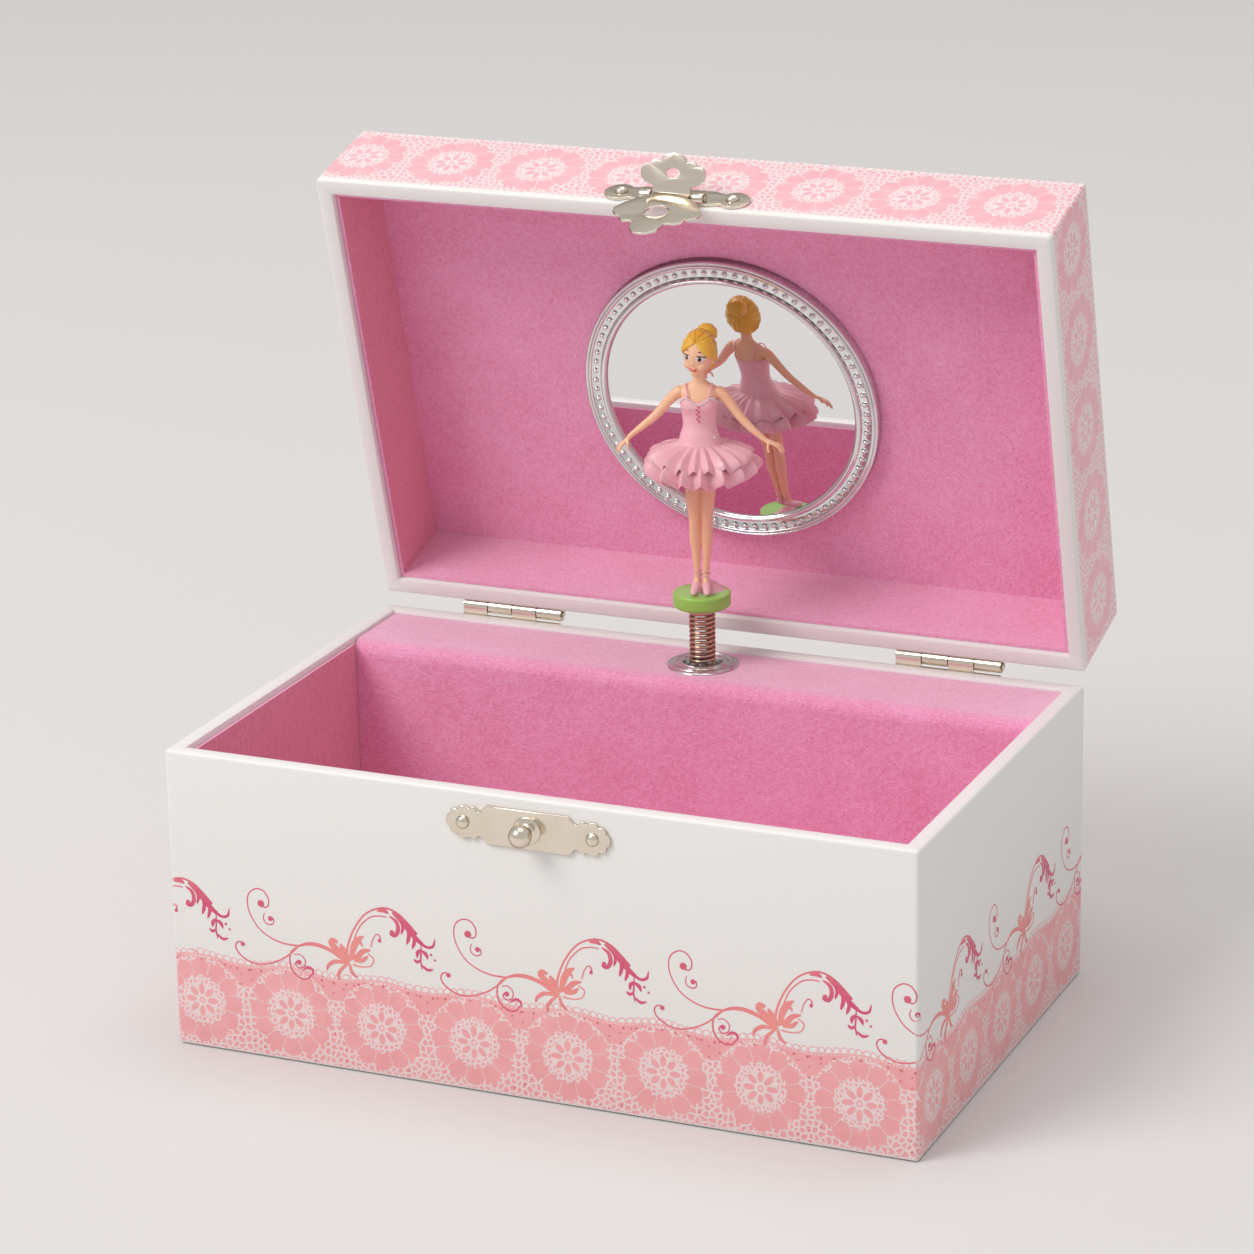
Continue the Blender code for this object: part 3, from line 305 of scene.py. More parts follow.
def bump(tree, shader, height, depth_mm, strength=1.0):
    node = add_node(tree, "Bump", Distance=depth_mm * MM, Strength=strength)
    tree.links.new(height.socket, node.inputs["Height"])
    tree.links.new(node.outputs["Normal"], shader.inputs["Normal"])


def spread(tree, shader, value, low, high):
    """Roughness that varies between low and high with value."""
    tree.links.new((value * (high - low) + low).socket, shader.inputs["Roughness"])


# ---- materials


def cell_walls(u, v, size):
    """The distance in millimetres to the nearest wall between irregular cells of about this size."""
    tree = u.tree
    joined = add_node(tree, "CombineXYZ")
    tree.links.new(u.socket, joined.inputs[0])
    tree.links.new(v.socket, joined.inputs[1])
    node = add_node(tree, "TexVoronoi", Scale=1.0 / size, Randomness=0.85)
    node.voronoi_dimensions = "2D"
    node.feature = "DISTANCE_TO_EDGE"
    tree.links.new(joined.outputs[0], node.inputs["Vector"])
    return Value(tree, node.outputs["Distance"]) * size


def lace_cell(u, v, centre, net_above):
    """The lace's white threads as a distance field, and how far the point is across and from a rosette."""
    du = (u - ROSETTE_U).wrap(ROSETTE_PITCH)
    dv = v - centre
    drift = (noise(u.tree, 500.0, 1.0) - 0.5) * 0.7
    r = du.hypot(dv) + drift
    angle = dv.op("ARCTAN2", du) + drift * 0.12

    def spokes(count, turn=0.0):
        local = (angle + turn).wrap(TAU / count)
        return r * local.cos(), r * local.sin()

    along, across = spokes(8)
    holes = (((along - 2.3) / 1.1).hypot(across / 0.62) - 1.0) * 0.6
    disc = (r - ROSETTE_DISC_R).high(-holes).high(0.16 - abs(r - 0.5))
    walls = cell_walls(u, v, RING_CELL)
    start, end = ROSETTE_RING
    ring = (r - (end + (angle * 16).cos() * 0.22)).high(start - r).high(walls - THREAD_HALF)
    _, across = spokes(12, TAU / 24)
    start, end = ROSETTE_RAYS
    rays = (abs(across) - 0.1).high(start - r).high(r - end).high(abs(r.wrap(0.7)) - 0.2)
    petals = r - (PETAL_R + abs((angle * 6).cos()) * PETAL_SWELL)
    _, across = spokes(56)
    arc = (abs(r - ROSETTE_ARC_R) - 0.14).high(abs(across) - 0.3).high(-dv - 1.0)
    net = (cell_walls(u, v, NET_CELL) - THREAD_HALF).high(0.1 - petals)
    if not net_above:
        net = net.high((v - centre - NET_FOOT).low(r - 9.0))
    return disc.low(ring).low(rays).low(arc).low(net), du, r


def lace_paper(name, pink, deep, centre, top, bottom=0.0, net_above=False, tiled=False):
    """White paper with a band of printed lace, read from a map whose v is the height up the wall."""
    material, tree, shader = new_material(
        name, (0.80, 0.78, 0.76), 0.42, Specular_IOR_Level=0.4, Coat_Weight=0.12, Coat_Roughness=0.3
    )
    mapping = add_node(tree, "UVMap")
    mapping.uv_map = "print"
    u, v = components(tree, mapping.outputs[0])
    u = u * 1000.0
    v = v * 1000.0
    if tiled:
        v = v.wrap(ROSETTE_PITCH)
    white, du, r = lace_cell(u, v, centre, net_above)
    if net_above:
        edge = abs((u / 3.2 * pi).sin()) * -0.5 + top
    else:
        edge = (du * (TAU / ROSETTE_PITCH)).cos() * 0.45 + top
    if tiled:
        inside = v * 0.0 - 1.0
    else:
        inside = (v - edge).high(bottom + abs((u / 1.6 * pi).sin()) * 0.4 - v)
    uneven = (noise(tree, 260.0, 1.0) - 0.5) * 1.8
    loops = abs((u + uneven).wrap(1.5).hypot(v - edge - 0.35 + uneven * 0.5) - 0.64) - 0.12
    loops = loops.high(edge - v)
    stitches = (abs(v - edge + 0.35) - 0.1).high(abs(u.wrap(0.75)) - 0.2)
    hem = (abs(v - bottom - 0.75) - 0.14).high(abs(u.wrap(1.3)) - 0.42)
    threads = white.low(stitches).low(hem)
    dots = u.wrap(2.6).hypot(v - edge + 1.05) - 0.26
    if not net_above:
        scattered = u.wrap(2.2).hypot((v + abs(u.wrap(4.4)) * 0.5).wrap(2.1)) - 0.2
        dots = dots.low(scattered.high(9.5 - r))
    blotch = noise(tree, 260.0, 4.0)
    fibre = noise(tree, 2600.0, 2.0)
    ink = mix(tree, (blotch * 1.5 - 0.25).clamped(), pink, deep)
    ink = mix(tree, dots.fill(0.1) * 0.7, ink, (0.62, 0.07, 0.13))
    thread_tint = mix(tree, fibre, (0.84, 0.74, 0.74), (0.90, 0.84, 0.83))
    printed = mix(tree, threads.fill() * 0.82, ink, thread_tint)
    paper = mix(tree, fibre, (0.83, 0.815, 0.795), (0.86, 0.845, 0.825))
    looped = mix(tree, loops.fill(0.12) * 0.8, paper, pink)
    paint(tree, shader, mix(tree, inside.fill(0.12), looped, printed))
    spread(tree, shader, fibre, 0.36, 0.50)
    bump(tree, shader, fibre * 0.6 + threads.fill() * inside.fill(0.12) * 0.25, 0.03)
    return material


def flock_material(name, dark, light, painted_side_shade=None):
    """Short velvet fibres: a fine fleck, patches where the pile lies another way, and a sheen.

    The last colour multiplies the colour of the faces that look along +X: painted shade for the walls that
    face away from the key light.
    """
    sheen = {"Sheen_Weight": 1.0, "Sheen_Roughness": 0.6, "Sheen_Tint": (1.0, 0.88, 0.94, 1)}
    material, tree, shader = new_material(name, light, 1.0, Specular_IOR_Level=0.08, **sheen)
    fleck = noise(tree, 3200.0, 2.0)
    grain = noise(tree, 1300.0, 3.0)
    patch = noise(tree, 90.0, 4.0)
    factor = (fleck * 1.3 + grain * 1.1 + patch * 0.6 - 1.0).clamped()
    colour = mix(tree, factor, dark, light)
    # painted shade: the faces that look along +X, away from the key light, get darker copies of the colours
    if painted_side_shade:
        facing, _ = components(tree, add_node(tree, "TexCoord").outputs["Normal"])
        low, high = (tuple(a * b for a, b in zip(shade, painted_side_shade)) for shade in (dark, light))
        colour = mix(tree, facing.clamped(), colour, mix(tree, factor, low, high))
    paint(tree, shader, colour)
    bump(tree, shader, fleck * 0.8 + grain, 0.30, 0.8)
    return material


def metal_material(name, dark, light, low, high, brushed=500.0, wear=0.02, metallic=1.0, rim=1.0):
    """Metal with smudges and fine scratches. rim darkens what it shows at a glancing angle."""
    tint = (rim, rim * 0.94, rim * 0.88, 1)
    material, tree, shader = new_material(name, light, low, Metallic=metallic, Specular_Tint=tint)
    smudge = noise(tree, 180.0, 4.0)
    scratch = noise(tree, brushed, 2.0)
    paint(tree, shader, mix(tree, smudge, dark, light))
    spread(tree, shader, smudge * 0.7 + scratch * 0.3, low, high)
    bump(tree, shader, scratch, wear)
    return material


def plastic_material(name, dark, light, roughness=0.32, subsurface=0.15, scale=240.0):
    """Moulded plastic: slightly uneven colour, a soft translucence and a faint mould texture."""
    soft = {"Subsurface_Radius": (1.0, 0.45, 0.3), "Subsurface_Scale": 0.0012, "Specular_IOR_Level": 0.45}
    material, tree, shader = new_material(name, light, roughness, Subsurface_Weight=subsurface, **soft)
    cloud = noise(tree, scale, 3.0)
    fine = noise(tree, 2400.0, 2.0)
    paint(tree, shader, mix(tree, cloud, dark, light))
    spread(tree, shader, cloud * 0.5 + fine * 0.5, roughness - 0.06, roughness + 0.08)
    bump(tree, shader, fine, 0.012)
    return material


def card_material(name):
    material, tree, shader = new_material(name, (0.55, 0.42, 0.30), 0.85)
    pulp = noise(tree, 900.0, 5.0)
    paint(tree, shader, mix(tree, pulp, (0.38, 0.28, 0.19), (0.62, 0.49, 0.36)))
    bump(tree, shader, pulp, 0.06)
    return material


def scroll_ink(name):
    """Printed ink that runs from coral at the stems to magenta at the tips."""
    material, tree, shader = new_material(name, (0.7, 0.15, 0.2), 0.4)
    tint = add_node(tree, "Attribute")
    tint.attribute_name = "tint"
    fibre = noise(tree, 1900.0, 2.0)
    factor = (Value(tree, tint.outputs["Fac"]) + (fibre - 0.5) * 0.3).clamped()
    paint(tree, shader, mix(tree, factor, (0.88, 0.32, 0.275), (0.66, 0.075, 0.185)))
    return material


BASE_INKS = ((0.88, 0.365, 0.385), (0.94, 0.46, 0.475))
BASE_PAPER = lace_paper("base_printed_paper", *BASE_INKS, BAND_CENTRE, BAND_TOP)
LID_INKS = ((0.86, 0.41, 0.47), (0.92, 0.51, 0.56))
LID_PAPER = lace_paper(
    "lid_printed_paper", *LID_INKS, LID_PRINT_CENTRE, LID_PRINT_TOP, bottom=1.2, net_above=True
)
LID_TOP_PAPER = lace_paper("lid_top_paper", *LID_INKS, 0.0, LID_PRINT_TOP, net_above=True, tiled=True)
# the last colour is painted shade for the lining's walls that face along +X
FLOCK = flock_material("flock_velvet", (0.82, 0.215, 0.41), (1.0, 0.47, 0.72), (0.9, 0.40, 0.50))
FELT = flock_material("felt_sheet", (0.58, 0.50, 0.48), (0.78, 0.70, 0.67))
NICKEL = metal_material(
    "pale_nickel", (0.76, 0.67, 0.54), (0.91, 0.84, 0.73), 0.10, 0.22, wear=0.004, rim=0.3
)
SILVER = metal_material(
    "silvered_plastic", (0.68, 0.68, 0.69), (0.90, 0.90, 0.90), 0.07, 0.18, metallic=0.92, rim=0.5
)
EYELET = metal_material(
    "eyelet_silver", (0.66, 0.66, 0.66), (0.86, 0.87, 0.87), 0.10, 0.22, metallic=0.85, rim=0.4
)
COPPER = metal_material("copper_wire", (0.46, 0.29, 0.20), (0.72, 0.51, 0.38), 0.18, 0.32, rim=0.5)
BRASS = metal_material("machined_brass", (0.62, 0.44, 0.18), (0.83, 0.64, 0.32), 0.2, 0.36)
STEEL = metal_material("blued_steel", (0.42, 0.42, 0.45), (0.62, 0.62, 0.65), 0.22, 0.38)
CAST = metal_material("cast_zinc", (0.36, 0.36, 0.37), (0.56, 0.56, 0.57), 0.42, 0.62, 700.0, 0.08)
MIRROR = metal_material("mirror_silver", (0.84, 0.845, 0.85), (0.86, 0.865, 0.87), 0.0, 0.03, 60.0, 0.0002)
CARD = card_material("grey_board")
INK = scroll_ink("scroll_ink")
SKIN = plastic_material("doll_skin", (0.95, 0.54, 0.33), (0.98, 0.63, 0.42), 0.34, 0.25)
PINK = plastic_material("pink_plastic", (0.92, 0.47, 0.54), (0.97, 0.59, 0.64), 0.3)
DEEP_PINK = plastic_material("deep_pink_beads", (0.66, 0.09, 0.16), (0.80, 0.16, 0.25), 0.25, 0.0)
GREEN = plastic_material("green_plastic", (0.29, 0.58, 0.09), (0.38, 0.68, 0.14), 0.28)
HAIR = plastic_material("golden_hair", (0.76, 0.40, 0.03), (0.97, 0.64, 0.10), 0.26, 0.0, 500.0)
PEARL = plastic_material("pearl_white", (0.82, 0.76, 0.76), (0.92, 0.88, 0.88), 0.18, 0.1)
DARK = plastic_material("eye_paint", (0.012, 0.010, 0.012), (0.035, 0.028, 0.03), 0.16, 0.0)
BROWN = plastic_material("brow_paint", (0.16, 0.07, 0.035), (0.24, 0.11, 0.06), 0.35, 0.0)
LIPS = plastic_material("lip_paint", (0.72, 0.12, 0.10), (0.84, 0.20, 0.17), 0.25, 0.0)


# ---- mesh building


def to_object(name, bm):
    """Makes an object in metres of a bmesh in millimetres."""
    bmesh.ops.scale(bm, vec=(MM, MM, MM), verts=bm.verts)
    mesh = bpy.data.meshes.new(name)
    bm.to_mesh(mesh)
    bm.free()
    return linked(name, mesh)


def shade_smooth(obj):
    obj.data.polygons.foreach_set("use_smooth", [True] * len(obj.data.polygons))


def finish_piece(name, bm, materials, body, matrix=None, stands_for=(), sharp_deg=40.0):
    """Makes a piece of a bmesh drawn in millimetres, and lets it ride on a body.

    stands_for lists the CAD nodes that the piece is shown in place of.
    """
    bmesh.ops.recalc_face_normals(bm, faces=bm.faces)
    if matrix is not None:
        bmesh.ops.transform(bm, matrix=matrix, verts=bm.verts)
    obj = to_object(name, bm)
    for material in materials if isinstance(materials, list) else [materials]:
        obj.data.materials.append(material)
    shade_smooth(obj)
    if sharp_deg:
        obj.data.set_sharp_from_angle(angle=radians(sharp_deg))
    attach(obj, body)
    if stands_for:
        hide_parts(*stands_for)
    return obj


def doll_piece(name, bm, material, stands_for=(), sharp_deg=40.0):
    return finish_piece(name, bm, material, "figure", FIGURE, stands_for, sharp_deg)


def applied(obj):
    """Bakes the object's modifiers into its mesh."""
    graph = bpy.context.evaluated_depsgraph_get()
    mesh = bpy.data.meshes.new_from_object(obj.evaluated_get(graph))
    obj.modifiers.clear()
    obj.data = mesh


def drill(obj, centre, axis, radius, length):
    """Cuts a round hole."""
    bm = bmesh.new()
    turn = Vector((0, 0, 1)).rotation_difference(Vector(axis)).to_matrix().to_4x4()
    bmesh.ops.create_cone(
        bm, cap_ends=True, segments=40, radius1=radius, radius2=radius, depth=length,
        matrix=Matrix.Translation(centre) @ turn,
    )
    cutter = to_object("cutter", bm)
    modifier = obj.modifiers.new("hole", "BOOLEAN")
    modifier.object = cutter
    modifier.solver = "EXACT"
    applied(obj)
    bpy.data.objects.remove(cutter)


def bevelled(obj, width, limit_deg):
    bevel = obj.modifiers.new("Bevel", "BEVEL")
    bevel.width = width * MM
    bevel.segments = 3
    bevel.limit_method = "ANGLE"
    bevel.angle_limit = radians(limit_deg)
    applied(obj)
    obj.data.set_sharp_from_angle(angle=radians(38))


def circle(count):
    """The angle, cosine and sine of count directions."""
    return [(TAU * k / count, cos(TAU * k / count), sin(TAU * k / count)) for k in range(count)]


def clamp(value):
    return max(-1, min(1, value))


def smooth_path(points, step):
    """Points about step apart on a Catmull-Rom curve. Further coordinates, such as a radius, come along."""
    points = [tuple(p) for p in points]
    first = tuple(2 * a - b for a, b in zip(points[0], points[1]))
    last = tuple(2 * a - b for a, b in zip(points[-1], points[-2]))
    padded = [first] + points + [last]
    path = []
    for p0, p1, p2, p3 in zip(padded, padded[1:], padded[2:], padded[3:]):
        count = max(2, math.ceil(math.dist(p1[:3], p2[:3]) / step))
        for i in range(count):
            t = i / count
            spot = []
            for a, b, c, d in zip(p0, p1, p2, p3):
                square = (2 * a - 5 * b + 4 * c - d) * t * t
                spot.append(0.5 * (2 * b + (c - a) * t + square + (3 * b - a - 3 * c + d) * t**3))
            path.append(tuple(spot))
    path.append(points[-1])
    return path


def skin(bm, rings, around=True):
    """Quads between neighbouring rings, or open rows, of the same number of vertices."""
    for low, high in zip(rings, rings[1:]):
        count = len(low)
        for k in range(count if around else count - 1):
            n = (k + 1) % count
            bm.faces.new((low[k], low[n], high[n], high[k]))


def cap(bm, rings):
    """Closes both ends of a skin."""
    bm.faces.new(rings[0])
    bm.faces.new(rings[-1])


def fan(bm, tip, ring):
    """Triangles from a ring to one point."""
    for a, b in zip(ring, ring[1:] + ring[:1]):
        bm.faces.new((tip, a, b))


def add_tube(bm, points, segments=10, step=0.5, flat=1.0, smooth=True, side=None):
    """A closed tube along (x, y, z, radius) points. flat squeezes it along the frame's second direction."""
    path = smooth_path(points, step) if smooth else points
    places = [Vector(p[:3]) for p in path]
    ahead = places[1:] + places[-1:]
    behind = places[:1] + places[:-1]
    tangents = [(a - b).normalized() for a, b in zip(ahead, behind)]
    guess = Vector(side or ((0.3, 0.2, 1) if abs(tangents[0].z) < 0.9 else (1, 0.2, 0)))
    normal = (guess - tangents[0] * guess.dot(tangents[0])).normalized()
    rings = []
    for place, tangent, (_, _, _, radius) in zip(places, tangents, path):
        normal = (normal - tangent * normal.dot(tangent)).normalized()
        across = tangent.cross(normal)
        offsets = [normal * c * radius + across * s * radius * flat for _, c, s in circle(segments)]
        rings.append([bm.verts.new(place + offset) for offset in offsets])
    skin(bm, rings)
    for end, outward in ((0, -tangents[0]), (-1, tangents[-1])):
        fan(bm, bm.verts.new(places[end] + outward * path[end][3] * 0.7), rings[end])


def add_ball(bm, centre, radii, segments=16, rings=10, turn=Matrix()):
    matrix = Matrix.Translation(centre) @ turn @ Matrix.Diagonal((*radii, 1))
    bmesh.ops.create_uvsphere(bm, u_segments=segments, v_segments=rings, radius=1.0, matrix=matrix)


def add_turned(bm, profile, matrix=None, segments=64, ring=False):
    """A profile of (radius, height) spun about Z. A ring profile is closed on itself."""
    rings = []
    for radius, height in profile:
        if radius < 1e-6:
            rings.append([bm.verts.new((0, 0, height))] * segments)
        else:
            rings.append([bm.verts.new((radius * c, radius * s, height)) for _, c, s in circle(segments)])
    for low, high in zip(rings, rings[1:] + (rings[:1] if ring else [])):
        for k in range(segments):
            n = (k + 1) % segments
            corners = list(dict.fromkeys((low[k], low[n], high[n], high[k])))
            if len(corners) > 2:
                bm.faces.new(corners)
    if matrix is not None:
        bmesh.ops.transform(bm, matrix=matrix, verts=list({v for r in rings for v in r}))


def rounded(points, radius_at, steps=4):
    """Replaces the named corners of an open (r, z) profile with small arcs."""
    out = []
    for i, point in enumerate(points):
        if i not in radius_at:
            out.append(point)
            continue
        here = Vector(point)
        start = here + (Vector(points[i - 1]) - here).normalized() * radius_at[i]
        end = here + (Vector(points[i + 1]) - here).normalized() * radius_at[i]
        for k in range(steps + 1):
            t = k / steps
            out.append(tuple(start * (1 - t) ** 2 + here * 2 * t * (1 - t) + end * t * t))
    return out


# ---- the paper wraps


def outline(inset):
    """The box's outline from the middle of the back, round by the left side, to the back's right corner."""
    half_w = HALF_W - inset
    half_d = HALF_D - inset
    radius = max(CORNER_R - inset, 0.2)
    ring = [(0.0, half_d)]
    for sx, sy, start in ((-1, 1, 90), (-1, -1, 180), (1, -1, 270), (1, 1, 0)):
        for i in range(CORNER_STEPS + 1):
            angle = radians(start + 90 * i / CORNER_STEPS)
            x = sx * (half_w - radius) + radius * cos(angle)
            ring.append((x, sy * (half_d - radius) + radius * sin(angle)))
    return ring


def distances():
    """How far each outline point is along the wall, counted from the middle of the front."""
    ring = outline(0.0)
    total = [0.0]
    for a, b in zip(ring, ring[1:] + ring[:1]):
        total.append(total[-1] + math.dist(a, b))
    return [t - total[-1] / 2 for t in total]


ALONG = distances()


def wall_point(along, height, lift):
    """A point on the base's outer wall, lift proud of the paper."""
    ring = outline(-lift)
    ring.append(ring[0])
    along = min(max(along, ALONG[0]), ALONG[-1] - 1e-6)
    i = max(k for k in range(len(ALONG) - 1) if ALONG[k] <= along)
    t = (along - ALONG[i]) / (ALONG[i + 1] - ALONG[i])
    x, y = (a * (1 - t) + b * t for a, b in zip(ring[i], ring[i + 1]))
    return (x, y, height)


def paper_shell(name, profile, material, body, matrix, stands_for, capped=False):
    """A wrapped sheet from (inset, z, v) points, where v is the height on the print."""
    bm = bmesh.new()
    uv = bm.loops.layers.uv.new("print")
    rings = [[bm.verts.new((x, y, z)) for x, y in outline(inset)] for inset, z, _ in profile]
    count = len(rings[0])
    order = list(range(len(rings)))
    for low, high in zip(order, order[1:] + ([] if capped else [0])):
        for k in range(count):
            n = (k + 1) % count
            face = bm.faces.new((rings[low][k], rings[low][n], rings[high][n], rings[high][k]))
            for loop, (i, row) in zip(face.loops, ((k, low), (k + 1, low), (k + 1, high), (k, high))):
                loop[uv].uv = (ALONG[i] * MM, profile[row][2] * MM)
    for row in (0, len(rings) - 1) if capped else ():
        face = bm.faces.new(rings[row])
        face.material_index = 1 if row else 0
        for loop in face.loops:
            loop[uv].uv = (loop.vert.co.x * MM, loop.vert.co.y * MM)
    return finish_piece(name, bm, material, body, matrix, stands_for, sharp_deg=35)


def make_papers():
    top = BASE_Z
    white = UNPRINTED_V
    profile = [
        (2.6, FOOT_Z, BELOW_PRINT_V), (0.6, FOOT_Z, -3.0), (0.18, FOOT_Z + 0.12, -1.0),
        (0.0, FOOT_Z + 0.5, FOOT_Z + 0.5), (0.0, top - 0.7, top - 0.7), (0.06, top - 0.38, top - 0.38),
        (0.22, top - 0.14, top - 0.1), (0.55, top, top + 0.4), (RIM - 0.6, top, white),
        (RIM - 0.2, top - 0.14, white), (RIM, top - 0.6, white), (RIM, top - TURN_IN, white),
        (RIM - PAPER, top - TURN_IN, white), (RIM - PAPER, top - PAPER - 0.2, white),
        (PAPER, top - PAPER - 0.2, white), (PAPER, FOOT_Z + PAPER, white), (2.6, FOOT_Z + PAPER, white),
    ]
    base = paper_shell("base_paper", profile, BASE_PAPER, "base", None, ["base_paper_wrap"])
    drill(base, (KEY_X, HALF_D, KEY_Z), (0, 1, 0), KEY_HOLE_R, 12)
    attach(base, "base")
    low = LID_RIM_Z
    high = LID_TOP_Z
    none = BELOW_PRINT_V
    profile = [
        (PAPER, high - PAPER, none), (PAPER, low + PAPER, none), (RIM - PAPER, low + PAPER, none),
        (RIM - PAPER, low + TURN_IN, none), (RIM, low + TURN_IN, none), (RIM, low + 0.6, none),
        (RIM - 0.2, low + 0.14, none), (RIM - 0.6, low, none), (0.55, low, -1.0), (0.22, low + 0.12, 0.0),
        (0.06, low + 0.34, 0.3), (0.0, low + 0.7, 0.7), (0.0, high - 0.8, 21.2), (0.08, high - 0.4, 21.6),
        (0.26, high - 0.14, 21.9), (0.6, high, 22.2),
    ]
    papers = [LID_PAPER, LID_TOP_PAPER]
    paper_shell("lid_paper", profile, papers, "lid", LID, ["lid_paper_wrap"], capped=True)


# ---- the printed scroll

# (points in millimetres from the spiral, (start, middle, end) widths, (start, end) tint)
SCROLL = (
    # the spiral and its stem
    ([(0.8, 32.0), (1.6, 31.2), (2.4, 31.6), (2.6, 33.0), (1.6, 34.5), (0.0, 34.8), (-1.6, 33.6),
      (-2.0, 31.4), (-1.3, 29.0), (0.3, 26.7), (2.6, 25.2), (5.3, 24.4), (8.6, 24.3)],
     (0.26, 0.26, 0.42), (0.9, 0.45)),
    ([(8.6, 24.3), (10.5, 25.0), (12.8, 25.1), (15.5, 24.4), (17.4, 23.3), (19.2, 22.3)],
     (0.4, 0.85, 0.6), (0.45, 0.1)),
    ([(2.6, 29.2), (3.4, 29.2), (3.5, 28.3), (2.7, 27.8), (1.7, 28.1), (1.3, 29.0), (1.6, 30.1)],
     (0.24, 0.24, 0.16), (0.9, 0.8)),
    # the curls below the stem
    ([(8.6, 24.3), (6.6, 22.3), (4.3, 20.7), (1.6, 19.6), (-0.7, 19.3), (-2.6, 19.8), (-4.3, 20.9),
      (-5.0, 22.2), (-4.6, 23.2), (-3.7, 23.4), (-3.2, 22.8)], (0.4, 0.32, 0.26), (0.35, 0.8)),
    ([(7.9, 23.9), (6.9, 22.7), (6.6, 20.8), (7.2, 18.9), (8.9, 17.7), (10.4, 17.9), (11.3, 19.0)],
     (0.24, 0.36, 0.24), (0.5, 0.9)),
    ([(7.6, 22.4), (8.8, 22.6), (9.9, 21.6), (9.6, 20.2), (8.4, 19.8), (7.8, 20.6), (8.3, 21.2)],
     (0.2, 0.24, 0.3), (0.6, 1.0)),
    ([(9.3, 19.4), (10.4, 20.2), (11.4, 19.8), (11.5, 18.8)], (0.2, 0.6, 0.2), (0.8, 1.0)),
    # the arch: two lines, a slender leaf with a hooked end, barbs and a hanging curl
    ([(19.2, 22.3), (18.9, 24.4), (19.5, 27.0), (20.7, 29.7), (22.7, 32.5), (25.0, 34.1), (27.6, 34.7),
      (30.0, 33.9), (32.0, 32.2), (33.8, 30.3)], (0.6, 0.34, 0.5), (0.1, 0.9)),
    ([(19.6, 23.0), (20.2, 26.2), (21.6, 29.8), (23.8, 32.2), (25.8, 32.9), (27.6, 32.9)],
     (0.4, 0.26, 0.2), (0.15, 0.7)),
    ([(25.6, 33.9), (27.0, 34.2), (28.0, 33.7)], (0.2, 0.9, 0.2), (0.5, 0.8)),
    ([(28.8, 34.0), (30.4, 32.8), (32.0, 31.1), (33.4, 29.6), (34.8, 28.5)], (0.4, 1.15, 0.75), (0.7, 1.0)),
    ([(34.2, 28.9), (35.8, 28.0), (37.1, 28.4), (37.5, 29.9)], (0.8, 0.55, 0.1), (1.0, 1.0)),
    ([(28.2, 33.2), (29.6, 32.2), (29.9, 30.6), (29.2, 29.4), (28.3, 29.6), (28.6, 30.4)],
     (0.25, 0.85, 0.3), (0.7, 1.0)),
    ([(30.6, 32.6), (30.9, 31.2), (30.5, 29.8)], (0.7, 0.6, 0.08), (0.9, 1.0)),
    ([(32.0, 31.2), (32.1, 29.6), (31.6, 27.9)], (0.8, 0.75, 0.08), (0.9, 1.0)),
    ([(33.2, 29.9), (33.2, 28.6), (32.7, 27.2)], (0.8, 0.7, 0.08), (0.9, 1.0)),
    # the leaves at the foot of the arch
    ([(19.2, 22.3), (17.9, 24.0), (16.6, 25.0), (15.6, 25.9), (15.9, 26.6), (17.0, 26.3)],
     (0.6, 1.25, 0.6), (0.1, 0.2)),
    ([(19.3, 22.8), (18.4, 24.6), (17.5, 26.0)], (0.5, 1.1, 0.4), (0.1, 0.2)),
    ([(19.6, 23.0), (20.3, 25.6), (21.2, 27.3), (22.6, 28.3)], (0.5, 1.35, 0.2), (0.1, 0.2)),
    ([(20.6, 26.2), (21.8, 27.0), (22.2, 26.1)], (0.4, 0.6, 0.15), (0.15, 0.2)),
    ([(19.6, 23.3), (21.1, 24.0), (22.3, 25.2), (23.9, 25.7)], (0.5, 1.1, 0.25), (0.1, 0.3)),
    ([(20.4, 23.0), (22.2, 23.4), (23.3, 24.4)], (0.4, 0.9, 0.2), (0.1, 0.3)),
    ([(23.3, 24.9), (24.5, 24.0), (23.9, 22.5), (21.9, 22.0), (20.1, 22.2)], (0.2, 0.22, 0.34), (0.3, 0.1)),
    ([(18.8, 22.3), (16.4, 22.3), (14.9, 21.3), (14.5, 20.2)], (0.5, 0.8, 0.2), (0.1, 0.4)),
    ([(19.0, 22.2), (17.6, 20.9), (16.9, 19.7), (17.0, 18.6)], (0.4, 0.7, 0.2), (0.1, 0.4)),
    ([(19.4, 22.2), (19.8, 20.6), (21.0, 19.6)], (0.4, 0.7, 0.2), (0.1, 0.4)),
    ([(24.0, 26.3), (24.5, 28.0), (25.3, 29.1), (26.0, 28.8), (26.0, 27.8)], (0.2, 0.2, 0.3), (0.3, 0.8)),
    # the chain of buds under the hook
    ([(34.6, 28.2), (34.5, 26.2), (34.4, 25.0), (34.7, 23.4)], (0.16, 0.3, 0.2), (0.9, 1.0)),
    ([(34.6, 27.4), (33.8, 26.6), (33.7, 25.6)], (0.2, 0.75, 0.15), (0.9, 1.0)),
    ([(34.7, 27.2), (35.6, 26.5), (35.9, 25.6)], (0.2, 0.75, 0.15), (0.9, 1.0)),
    ([(34.5, 25.2), (33.6, 24.7), (33.0, 25.2)], (0.2, 0.6, 0.15), (0.9, 1.0)),
    ([(34.7, 24.2), (35.8, 23.4), (37.0, 23.7)], (0.2, 0.55, 0.15), (0.9, 1.0)),
)
SCROLL_BLOBS = (
    (0.9, 31.9, 0.7), (2.8, 29.1, 0.5), (8.6, 21.0, 0.5), (28.6, 30.0, 0.45), (-3.4, 23.0, 0.45),
    (25.9, 27.9, 0.35), (36.6, 26.6, 0.25), (37.4, 25.6, 0.22),
)
INK_PROUD = 0.02
